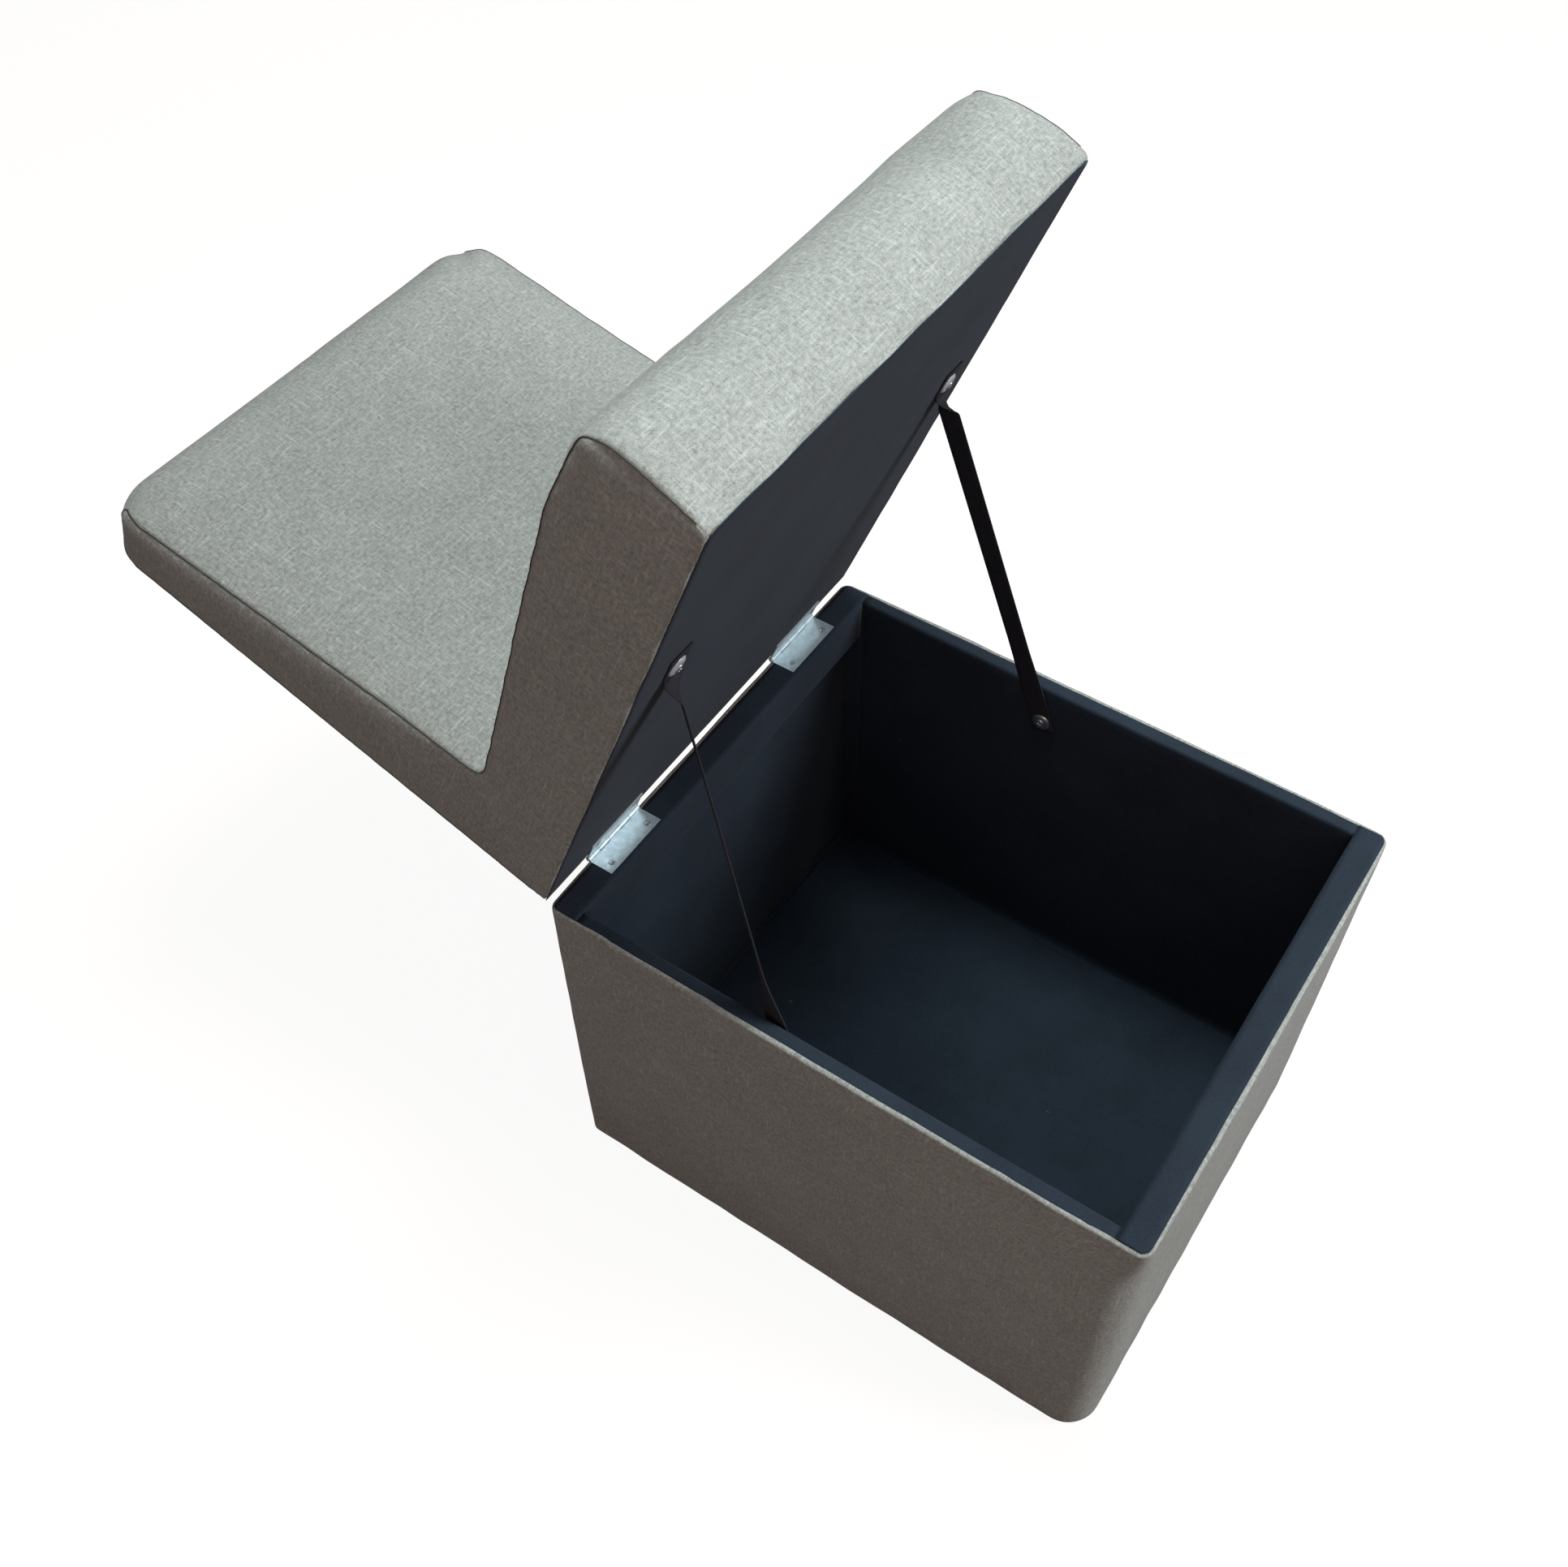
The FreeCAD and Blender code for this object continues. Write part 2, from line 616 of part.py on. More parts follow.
def rod(name, low, radius, length, turn, tip=None):
    """A cylinder, or a cone if it has a tip, that starts at a point and runs along an axis."""
    shape = doc.addObject("Part::Cone" if tip else "Part::Cylinder", name)
    base = Vector(*[number(text) for text in low])
    shape.Placement = Placement(base, turn)
    for axis, text in zip("xyz", low):
        bind(shape, f"Placement.Base.{axis}", text)
    bind(shape, "Radius1" if tip else "Radius", radius)
    if tip:
        bind(shape, "Radius2", tip)
    bind(shape, "Height", length)
    return shape


along = {
    "up": (Rotation(), (0, 0, 1)),
    "down": (Rotation(Vector(1, 0, 0), 180), (0, 0, -1)),
    "right": (Rotation(Vector(0, 1, 0), 90), (1, 0, 0)),
    "left": (Rotation(Vector(0, 1, 0), -90), (-1, 0, 0)),
    "front": (Rotation(Vector(1, 0, 0), 90), (0, -1, 0)),
}


def ahead(point, way, distance):
    return tuple(f"{text} + ({distance}) * {step}" if step else text
                 for text, step in zip(point, along[way][1]))


def group(label, members, onLid=False):
    """Identical pieces that share one name, each its own solid."""
    bundle = doc.addObject("Part::Compound", label)
    bundle.Links = members
    if onLid:
        hang(bundle)
    return keep(bundle, label)


def woodScrew(name, seat, way, length):
    """A countersunk screw whose head lies flush at its seat and whose shank runs one way."""
    turn = along[way][0]
    head = rod(name + "Head", seat, "screwHeadRadius", "screwHeadHeight", turn, "screwRadius")
    shank = rod(name + "Shank", ahead(seat, way, "screwHeadHeight"), "screwRadius",
                f"{length} - screwHeadHeight", turn)
    whole = doc.addObject("Part::MultiFuse", name)
    whole.Shapes = [head, shank]
    return whole


def makeScrews():
    leafTop = "hingeZ - lidGap + leafThick"
    leafUnder = "lidGap - leafThick"
    boxScrews = []
    lidScrews = []
    for side in ("-", ""):
        for turn in ("-", "+"):
            x = f"{side}hingeSpread {turn} leafScrewSpread / 2"
            name = f"HingeScrew{len(boxScrews)}"
            seat = (x, "hingeY - leafScrewInset", leafTop)
            boxScrews.append(woodScrew("Box" + name, seat, "down", "screwLength"))
            seat = (x, "-leafScrewInset", leafUnder)
            lidScrews.append(woodScrew("Lid" + name, seat, "up", "screwLength - 3"))
    group("hinge_box_screws", boxScrews)
    group("hinge_lid_screws", lidScrews, onLid=True)

    frameScrews = []
    for x in ("-frameScrewInset * 3", "-frameScrewInset", "frameScrewInset",
              "frameScrewInset * 3"):
        seat = (x, "(stileRearY + stileFrontY) / 2", "boardLow")
        name = f"FrameScrew{len(frameScrews)}"
        frameScrews.append(woodScrew(name, seat, "up", "frameScrewLength"))
    group("back_frame_screws", frameScrews, onLid=True)

    panelScrews = []
    edgeX = "(panelX + wallX) / 2"
    for side in ("-", ""):
        for level in ("panelScrewInset", "boxHeight / 2", "boxHeight - panelScrewInset"):
            seat = (f"{side}({edgeX})", "panelRear", level)
            name = f"PanelScrew{len(panelScrews)}"
            panelScrews.append(woodScrew(name, seat, "front", "panelScrewLength"))
        for y in ("-halfDepth + panelScrewInset * 2", "0", "halfDepth - panelScrewInset * 2"):
            seat = (f"{side}({edgeX})", y, "bottomLow")
            name = f"PanelScrew{len(panelScrews)}"
            panelScrews.append(woodScrew(name, seat, "up", "panelScrewLength"))
    group("box_panel_screws", panelScrews)


def cupWasher(name, seat, way):
    """A shallow cup with a hole, its wide side on the seat."""
    turn = along[way][0]
    cup = rod(name + "Cup", seat, "washerRadius", "washerHeight", turn, "washerRadius * 0.6")
    hole = rod(name + "Hole", ahead(seat, way, "-1"), "washerHole", "washerHeight + 2", turn)
    ring = doc.addObject("Part::Cut", name)
    ring.Base = cup
    ring.Tool = hole
    return ring


def anchorScrew(name, seat, way):
    """A round-headed screw: its head stands on the seat and its shank runs the other way."""
    turn = along[way][0]
    head = rod(name + "Head", seat, "anchorHeadRadius", "anchorHeadHeight", turn,
               "anchorHeadRadius * 0.6")
    shank = rod(name + "Shank", ahead(seat, way, "-anchorScrewLength"), "anchorScrewRadius",
                "anchorScrewLength", turn)
    whole = doc.addObject("Part::MultiFuse", name)
    whole.Shapes = [head, shank]
    return whole


def makeAnchors():
    wall = {"washers": [], "screws": []}
    lid = {"washers": [], "screws": [], "tabs": []}
    for side, sign, way in (("Left", "-", "right"), ("Right", "", "left")):
        seat = (f"{sign}(strapInnerX - strapGap)", "anchorY", "anchorZ")
        wall["washers"].append(cupWasher(side + "WallWasher", seat, way))
        top = ahead(seat, way, "washerHeight")
        wall["screws"].append(anchorScrew(side + "WallScrew", top, way))

        x = f"{sign}lidAnchorSpread"
        tab = doc.addObject("Part::Box", side + "Tab")
        low = (f"{x} - strapWidth / 2", "pivotY - 1 - tabLength", "lidGap - strapThick")
        place(tab, *low)
        bind(tab, "Length", "strapWidth")
        bind(tab, "Width", "tabLength")
        bind(tab, "Height", "strapThick")
        eye = rod(side + "TabEye", (x, "lidAnchorY", "lidGap - strapThick - 1"), "washerHole",
                  "strapThick + 2", along["up"][0])
        cut = doc.addObject("Part::Cut", side + "TabCut")
        cut.Base = tab
        cut.Tool = eye
        lid["tabs"].append(cut)
        seat = (x, "lidAnchorY", "lidGap - strapThick")
        lid["washers"].append(cupWasher(side + "LidWasher", seat, "down"))
        top = ahead(seat, "down", "washerHeight")
        lid["screws"].append(anchorScrew(side + "LidScrew", top, "down"))
    group("strap_wall_washers", wall["washers"])
    group("strap_wall_screws", wall["screws"])
    group("strap_lid_tabs", lid["tabs"], onLid=True)
    group("strap_lid_washers", lid["washers"], onLid=True)
    group("strap_lid_screws", lid["screws"], onLid=True)


def makeStraps():
    """Each strap folds at its middle, so it is two straight halves, taut when the lid is open."""
    rise = "atan2(strapRise; strapRun)"
    half = "strapWidth / 2"
    for side, sign, start in (("left", "-", "-strapOuterX"), ("right", "", "strapInnerX")):
        lower = startBody(f"{side}_strap_lower")
        flat = startSketch(lower, side + "LowerOutline", "YZ", start)
        drawLoop(flat, rectangle((f"-({half})", f"-({half})"), ("strapHalf", half)))
        pad(lower, side + "LowerPad", flat, "strapThick")
        eye = startSketch(lower, side + "LowerEye", "YZ", f"{start} + strapThick")
        drawCircle(eye, "0", "0", "anchorScrewRadius + pinClearance")
        pocket(lower, side + "LowerEyeCut", eye, "strapThick")
        place(lower, "0", "anchorY", "anchorZ", rise)

        upper = startBody(f"{side}_strap_upper")
        centre = f"{sign}lidAnchorSpread"
        flat = startSketch(upper, side + "UpperOutline", "YZ", f"{centre} - {half}")
        drawLoop(flat, rectangle(("0.5", "-strapThick / 2"), ("strapHalf", "strapThick / 2")))
        pad(upper, side + "UpperPad", flat, "strapWidth")
        place(upper, "0", "pivotWorldY", "pivotWorldZ", rise + " + 180 deg")


doc.recompute()
makeBoxFrame()
makeBoxPadding()
makeBoxCover()
makeBoxLining()
makeLidCover()
makeLidInside()
makeFoam()
makeHinge("left", "-hingeSpread")
makeHinge("right", "hingeSpread")
makeScrews()
makeAnchors()
makeStraps()
doc.recompute()

for item in doc.Objects:
    if "Invalid" in item.State or "Error" in item.State:
        raise RuntimeError(f"{item.Label} did not build: {item.State}")
for item in subParts:
    if item.Shape.isNull() or not item.Shape.isValid():
        raise RuntimeError(f"{item.Label} has no valid shape")

os.makedirs("parts", exist_ok=True)
for item in subParts:
    item.Shape.exportStep(f"parts/{item.Label}.step")
    print(item.Label, round(item.Shape.Volume / 1000, 1), "cm3", len(item.Shape.Solids), "solid")
print(len(subParts), "sub-parts")
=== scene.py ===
import bmesh
import bpy
import json
import math
from mathutils import Matrix, Vector, kdtree, noise
from mathutils.bvhtree import BVHTree
from mathutils.geometry import delaunay_2d_cdt

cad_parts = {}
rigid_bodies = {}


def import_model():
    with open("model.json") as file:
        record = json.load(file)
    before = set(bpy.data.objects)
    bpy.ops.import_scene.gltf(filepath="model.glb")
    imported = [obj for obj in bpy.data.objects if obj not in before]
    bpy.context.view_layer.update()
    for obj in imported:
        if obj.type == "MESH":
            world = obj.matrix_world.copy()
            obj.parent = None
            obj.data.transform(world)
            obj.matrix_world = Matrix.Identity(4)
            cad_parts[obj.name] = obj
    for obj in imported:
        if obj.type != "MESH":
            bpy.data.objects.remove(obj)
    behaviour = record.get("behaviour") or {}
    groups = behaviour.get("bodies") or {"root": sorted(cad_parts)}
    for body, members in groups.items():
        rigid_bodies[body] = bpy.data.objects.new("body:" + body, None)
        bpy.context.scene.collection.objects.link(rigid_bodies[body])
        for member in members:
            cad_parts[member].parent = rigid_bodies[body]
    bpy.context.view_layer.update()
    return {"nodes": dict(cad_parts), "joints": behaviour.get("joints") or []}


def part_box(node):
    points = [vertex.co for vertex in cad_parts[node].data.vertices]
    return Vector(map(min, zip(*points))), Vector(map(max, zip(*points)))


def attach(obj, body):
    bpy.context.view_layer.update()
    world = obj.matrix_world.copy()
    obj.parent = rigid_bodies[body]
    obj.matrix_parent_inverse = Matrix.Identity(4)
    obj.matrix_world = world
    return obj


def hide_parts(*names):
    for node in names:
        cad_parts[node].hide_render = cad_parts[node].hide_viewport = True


for thing in list(bpy.data.objects):
    bpy.data.objects.remove(thing)
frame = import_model()
scene = bpy.context.scene
mm = 0.001

lidJoint = next(joint for joint in frame["joints"] if joint["name"] == "lid_hinge")
hingeAxis = Vector(lidJoint["pos_m"])
openAngle = math.radians(lidJoint["range_deg"][1])
# lid pieces are shaped shut, with the hinge axis at the origin, then swung open
lidToWorld = Matrix.Translation(hingeAxis) @ Matrix.Rotation(-openAngle, 4, "X")
print("frame loaded, lid open by", round(math.degrees(openAngle), 1))


def addObject(name, data):
    thing = bpy.data.objects.new(name, data)
    scene.collection.objects.link(thing)
    return thing


# shader helpers

def addNode(tree, kind, inputs=None, **props):
    node = tree.nodes.new(kind)
    for key, value in props.items():
        setattr(node, key, value)
    for key, value in (inputs or {}).items():
        if isinstance(value, bpy.types.NodeSocket):
            tree.links.new(value, node.inputs[key])
        else:
            node.inputs[key].default_value = value
    return node


def calc(tree, operation, first, second=0.0, clamp=False):
    node = addNode(tree, "ShaderNodeMath", {0: first, 1: second}, operation=operation,
                   use_clamp=clamp)
    return node.outputs[0]


def stretch(tree, value, low, high, newLow=0.0, newHigh=1.0):
    node = addNode(tree, "ShaderNodeMapRange", {"Value": value, "From Min": low, "From Max": high,
                                                "To Min": newLow, "To Max": newHigh})
    return node.outputs[0]


def blendColour(tree, share, first, second, how="MIX"):
    node = addNode(tree, "ShaderNodeMix", {0: share, 6: first, 7: second}, data_type="RGBA",
                   blend_type=how)
    return node.outputs[2]


def scaled(tree, vector, factors):
    node = addNode(tree, "ShaderNodeVectorMath", {0: vector, 1: factors}, operation="MULTIPLY")
    return node.outputs[0]


def noiseFac(tree, vector, scale, detail=2.0, rough=0.55):
    node = addNode(tree, "ShaderNodeTexNoise", {"Vector": vector, "Scale": scale,
                                                "Detail": detail, "Roughness": rough})
    return node.outputs[0]


def shaderGroup(name, inputs):
    # a surface group: a place on the surface in metres goes in, its look comes out
    tree = bpy.data.node_groups.new(name, "ShaderNodeTree")
    tree.interface.new_socket(name="Vector", in_out="INPUT", socket_type="NodeSocketVector")
    for label, kind, value in inputs:
        socket = tree.interface.new_socket(name=label, in_out="INPUT",
                                           socket_type="NodeSocket" + kind)
        socket.default_value = value
    for label, kind in (("Color", "Color"), ("Height", "Float"), ("Roughness", "Float")):
        tree.interface.new_socket(name=label, in_out="OUTPUT", socket_type="NodeSocket" + kind)
    return tree, tree.nodes.new("NodeGroupInput").outputs


def finishGroup(tree, colour, height, roughness):
    result = tree.nodes.new("NodeGroupOutput").inputs
    for label, value in (("Color", colour), ("Height", height), ("Roughness", roughness)):
        tree.links.new(value, result[label])
    return tree


# camera, lights and floor

studio = {
    "eye": (-0.7241, -0.3204, 1.4526),
    "heading": (-0.5115, -0.3519, 0.7839),  # from the subject towards the camera
    "across": (0.5597, -0.8287, -0.0067),   # the view's left to right
    "lens": 39.84,
    # each light: its place, what it faces, its size, power and colour
    "lights": {
        "keyLight": ((1.1, -2.3, 1.5), (0, 0, 0.25), 1.3, 42, (0.95, 0.99, 1)),
        "topLight": ((0.3, 0.05, 2.75), (0, 0.15, 0.5), 0.9, 38, (0.895, 1, 0.995)),
        "fillLight": ((-2.1, -0.6, 1.45), (0, 0, 0.35), 1.4, 5.2, (1, 0.76, 0.69)),
    },
    "sky": (1.0, 0.88, 0.84, 1),
    "skyStrength": 0.15,
    "floorReach": 9,
    "floorColour": (0.15, 0.13, 0.115, 1),  # throws little light back up on the sides
    "floorGlow": 0.93,                      # seen almost shadowless
}
white = (1, 1, 1, 1)


def makeCamera():
    back = Vector(studio["heading"]).normalized()
    right = Vector(studio["across"])
    right = (right - back * right.dot(back)).normalized()
    up = back.cross(right)
    data = bpy.data.cameras.new("studioCamera")
    data.sensor_fit = "HORIZONTAL"
    data.sensor_width = 36
    data.lens = studio["lens"]
    camera = addObject("studioCamera", data)
    turn = Matrix((right, up, back)).transposed().to_4x4()
    camera.matrix_world = Matrix.Translation(studio["eye"]) @ turn
    scene.camera = camera


def makeLight(name, place, target, size, power, colour):
    data = bpy.data.lights.new(name, "AREA")
    data.shape = "DISK"
    data.size = size
    data.energy = power
    data.color = colour
    light = addObject(name, data)
    light.location = place
    light.rotation_euler = (Vector(target) - Vector(place)).to_track_quat("-Z", "Y").to_euler()


def makeSky():
    world = bpy.data.worlds.new("studioSky")
    scene.world = world
    world.use_nodes = True
    tree = world.node_tree
    sky = tree.nodes["Background"]
    sky.inputs["Color"].default_value = studio["sky"]
    sky.inputs["Strength"].default_value = studio["skyStrength"]
    seen = addNode(tree, "ShaderNodeLightPath").outputs["Is Camera Ray"]
    backdrop = addNode(tree, "ShaderNodeBackground", {"Color": white})
    choice = addNode(tree, "ShaderNodeMixShader", {0: seen, 1: sky.outputs[0],
                                                   2: backdrop.outputs[0]})
    tree.links.new(choice.outputs[0], tree.nodes["World Output"].inputs["Surface"])


def makeFloor():
    mesh = bpy.data.meshes.new("studio_floor")
    reach = studio["floorReach"]
    mesh.from_pydata([(-reach, -reach, 0), (reach, -reach, 0), (reach, reach, 0),
                      (-reach, reach, 0)], [], [(0, 1, 2, 3)])
    floor = addObject("studio_floor", mesh)
    floor.location.z = -0.5 * mm
    material = bpy.data.materials.new("paleFloor")
    material.use_nodes = True
    tree = material.node_tree
    shader = tree.nodes["Principled BSDF"]
    shader.inputs["Roughness"].default_value = 0.9
    shader.inputs["Base Color"].default_value = studio["floorColour"]
    glow = addNode(tree, "ShaderNodeEmission", {"Color": white, "Strength": studio["floorGlow"]})
    both = addNode(tree, "ShaderNodeAddShader", {0: shader.outputs[0], 1: glow.outputs[0]})
    seen = addNode(tree, "ShaderNodeLightPath").outputs["Is Camera Ray"]
    mix = addNode(tree, "ShaderNodeMixShader", {0: seen, 1: shader.outputs[0],
                                                2: both.outputs[0]})
    tree.links.new(mix.outputs[0], tree.nodes["Material Output"].inputs["Surface"])
    mesh.materials.append(material)


makeCamera()
for label, values in studio["lights"].items():
    makeLight(label, *values)
makeSky()
makeFloor()
scene.view_settings.view_transform = "Standard"
print("studio ready")


# shader groups: cloths, metal, wood and foam

def makeHeatherWeave():
    # threads of mixed grey fibres in a plain weave; the vector is the flat cloth in metres
    tree, given = shaderGroup("heatherWeave", [
        ("Light", "Color", (0.5, 0.5, 0.5, 1)),
        ("Dark", "Color", (0.2, 0.2, 0.2, 1)), ("Threads per metre", "Float", 900),
        ("Fleck", "Float", 0.5), ("Blotch", "Float", 0.2), ("Slub", "Float", 0.3),
        ("Tint", "Color", (1.0, 0.94, 0.86, 1)),
    ])
    threads = addNode(tree, "ShaderNodeVectorMath", {
        0: given["Vector"], "Scale": given["Threads per metre"]}, operation="SCALE").outputs[0]
    parts = addNode(tree, "ShaderNodeSeparateXYZ", {0: threads})
    waveX = calc(tree, "SINE", calc(tree, "MULTIPLY", parts.outputs[0], math.pi))
    waveY = calc(tree, "SINE", calc(tree, "MULTIPLY", parts.outputs[1], math.pi))
    over = stretch(tree, calc(tree, "MULTIPLY", waveX, waveY), -0.3, 0.3)
    warp = noiseFac(tree, scaled(tree, threads, (0.62, 0.16, 1)), 1.0)
    weft = noiseFac(tree, scaled(tree, threads, (0.16, 0.62, 1)), 1.0)
    pick = addNode(tree, "ShaderNodeMix", {0: over, 2: warp, 3: weft})
    fibre = stretch(tree, pick.outputs[0], 0.30, 0.70)
    fleck = stretch(tree, noiseFac(tree, threads, 0.34, 3.0, 0.7), 0.34, 0.66)
    tone = addNode(tree, "ShaderNodeMix", {0: given["Fleck"], 2: fibre, 3: fleck}).outputs[0]
    # thicker, paler yarns show as short streaks both ways
    slubAlong = noiseFac(tree, scaled(tree, threads, (0.55, 0.045, 1)), 1.0, 1.0)
    slubAcross = noiseFac(tree, scaled(tree, threads, (0.045, 0.55, 1)), 1.0, 1.0)
    slub = calc(tree, "MAXIMUM", stretch(tree, slubAlong, 0.60, 0.72),
                stretch(tree, slubAcross, 0.60, 0.72))
    tone = calc(tree, "ADD", tone, calc(tree, "MULTIPLY", slub, given["Slub"]))
    blotch = calc(tree, "SUBTRACT", noiseFac(tree, given["Vector"], 26.0, 3.0), 0.5)
    cloud = calc(tree, "SUBTRACT", noiseFac(tree, given["Vector"], 5.0, 2.0), 0.5)
    drift = calc(tree, "MULTIPLY", calc(tree, "ADD", blotch, cloud), given["Blotch"])
    tone = calc(tree, "ADD", tone, drift, clamp=True)
    yarn = blendColour(tree, tone, given["Dark"], given["Light"])
    warm = noiseFac(tree, scaled(tree, threads, (0.4, 0.25, 1)), 1.0, 2.0)
    warm = calc(tree, "MULTIPLY", stretch(tree, warm, 0.45, 0.6), 0.5)
    yarn = blendColour(tree, warm, yarn, given["Tint"], "MULTIPLY")
    humpX = calc(tree, "MULTIPLY", calc(tree, "ABSOLUTE", waveX), over)
    humpY = calc(tree, "MULTIPLY", calc(tree, "ABSOLUTE", waveY),
                 calc(tree, "SUBTRACT", 1.0, over))
    hump = calc(tree, "ADD", humpX, humpY)
    return finishGroup(tree, yarn, calc(tree, "ADD", hump, calc(tree, "MULTIPLY", fleck, 1.4)),
                       stretch(tree, tone, 0.0, 1.0, 0.98, 0.84))


def makeSpunCloth():
    # pressed black lining cloth: tangled fibres, small pressed dots and a little lint
    tree, given = shaderGroup("spunCloth", [
        ("Light", "Color", (0.06, 0.07, 0.08, 1)), ("Dark", "Color", (0.02, 0.02, 0.02, 1)),
        ("Dots per metre", "Float", 420),
    ])
    fibre = noiseFac(tree, scaled(tree, given["Vector"], (1, 0.4, 1)), 900.0, 3.0, 0.7)
    cloud = noiseFac(tree, given["Vector"], 14.0, 4.0, 0.6)
    haze = noiseFac(tree, given["Vector"], 3.0, 2.0, 0.5)
    size = addNode(tree, "ShaderNodeVectorMath", {
        0: given["Vector"], "Scale": given["Dots per metre"]}, operation="SCALE")
    dots = addNode(tree, "ShaderNodeTexVoronoi", {"Vector": size.outputs[0], "Scale": 1.0,
                                                  "Randomness": 0.25})
    dot = stretch(tree, dots.outputs["Distance"], 0.12, 0.34)
    patches = stretch(tree, calc(tree, "ADD", cloud, haze), 0.7, 1.3)
    tone = calc(tree, "ADD", calc(tree, "MULTIPLY", stretch(tree, fibre, 0.3, 0.7), 0.5),
                calc(tree, "MULTIPLY", patches, 0.5))
    tone = calc(tree, "MULTIPLY", tone, stretch(tree, dot, 0.0, 1.0, 0.72, 1.0), clamp=True)
    lint = stretch(tree, noiseFac(tree, scaled(tree, given["Vector"], (1, 0.25, 1)), 260.0, 1.0),
                   0.80, 0.86)
    cloth = blendColour(tree, tone, given["Dark"], given["Light"])
    return finishGroup(tree, blendColour(tree, lint, cloth, (0.20, 0.20, 0.20, 1)),
                       calc(tree, "ADD", calc(tree, "MULTIPLY", dot, 0.6), fibre),
                       stretch(tree, fibre, 0.2, 0.8, 0.72, 0.94))


def makeWebWeave():
    # narrow webbing: ribs across and a twill of fine lines along it
    tree, given = shaderGroup("webWeave", [
        ("Light", "Color", (0.06, 0.07, 0.08, 1)), ("Dark", "Color", (0.02, 0.02, 0.02, 1)),
        ("Ribs per metre", "Float", 700),
    ])
    parts = addNode(tree, "ShaderNodeSeparateXYZ", {0: given["Vector"]})
    turn = calc(tree, "MULTIPLY", given["Ribs per metre"], math.tau)
    slant = calc(tree, "ADD", parts.outputs[1], calc(tree, "MULTIPLY", parts.outputs[0], 0.5))
    rib = calc(tree, "SINE", calc(tree, "MULTIPLY", slant, turn))
    line = calc(tree, "SINE", calc(tree, "MULTIPLY", parts.outputs[0], turn))
    weave = calc(tree, "ADD", calc(tree, "MULTIPLY", rib, 0.6), calc(tree, "MULTIPLY", line, 0.4))
    fuzz = noiseFac(tree, given["Vector"], 700.0, 3.0, 0.7)
    worn = noiseFac(tree, given["Vector"], 40.0, 3.0)
    tone = calc(tree, "ADD", stretch(tree, weave, -1.0, 1.0, 0.0, 0.6),
                calc(tree, "MULTIPLY", calc(tree, "ADD", fuzz, worn), 0.25), clamp=True)
    return finishGroup(tree, blendColour(tree, tone, given["Dark"], given["Light"]),
                       calc(tree, "ADD", weave, fuzz), stretch(tree, tone, 0.0, 1.0, 0.85, 0.6))


def makeMetalWear():
    # plated steel: cloudy plating, fine scratches and dull patches
    tree, given = shaderGroup("metalWear", [
        ("Bright", "Color", (0.8, 0.8, 0.8, 1)), ("Dull", "Color", (0.5, 0.5, 0.5, 1)),
        ("Scratches", "Float", 0.5),
    ])
    cloud = stretch(tree, noiseFac(tree, given["Vector"], 190.0, 4.0, 0.6), 0.3, 0.7)
    scratch = noiseFac(tree, scaled(tree, given["Vector"], (60, 2600, 2600)), 1.0, 3.0, 0.7)
    scratch = calc(tree, "MULTIPLY", stretch(tree, scratch, 0.55, 0.75), given["Scratches"])
    grime = stretch(tree, noiseFac(tree, given["Vector"], 420.0, 2.0), 0.62, 0.8)
    tone = calc(tree, "SUBTRACT", cloud, calc(tree, "ADD", calc(tree, "MULTIPLY", grime, 0.5),
                                              calc(tree, "MULTIPLY", scratch, 0.3)), clamp=True)
    rough = calc(tree, "ADD", stretch(tree, cloud, 0.0, 1.0, 0.46, 0.30),
                 calc(tree, "MULTIPLY", scratch, 0.18), clamp=True)
    return finishGroup(tree, blendColour(tree, tone, given["Dull"], given["Bright"]),
                       calc(tree, "SUBTRACT", calc(tree, "MULTIPLY", cloud, 0.3), scratch), rough)


def makeWoodGrain():
    # straight grain along one axis, with pores and darker growth lines
    tree, given = shaderGroup("woodGrain", [
        ("Light", "Color", (0.6, 0.42, 0.25, 1)), ("Dark", "Color", (0.35, 0.2, 0.1, 1)),
        ("Rings per metre", "Float", 60),
    ])
    along = scaled(tree, given["Vector"], (1, 1, 0.07))
    bend = noiseFac(tree, along, 9.0, 3.0)
    parts = addNode(tree, "ShaderNodeSeparateXYZ", {0: along})
    line = calc(tree, "ADD", calc(tree, "ADD", parts.outputs[0], parts.outputs[1]),
                calc(tree, "MULTIPLY", bend, 0.09))
    ring = calc(tree, "SINE", calc(tree, "MULTIPLY", line,
                                   calc(tree, "MULTIPLY", given["Rings per metre"], math.tau)))
    pore = noiseFac(tree, scaled(tree, given["Vector"], (1, 1, 0.04)), 1500.0, 2.0)
    tone = calc(tree, "ADD", stretch(tree, ring, -1.0, 1.0, 0.1, 0.7),
                calc(tree, "MULTIPLY", pore, 0.35), clamp=True)
    return finishGroup(tree, blendColour(tree, tone, given["Dark"], given["Light"]),
                       calc(tree, "ADD", pore, calc(tree, "MULTIPLY", ring, 0.2)),
                       stretch(tree, pore, 0.2, 0.8, 0.75, 0.55))


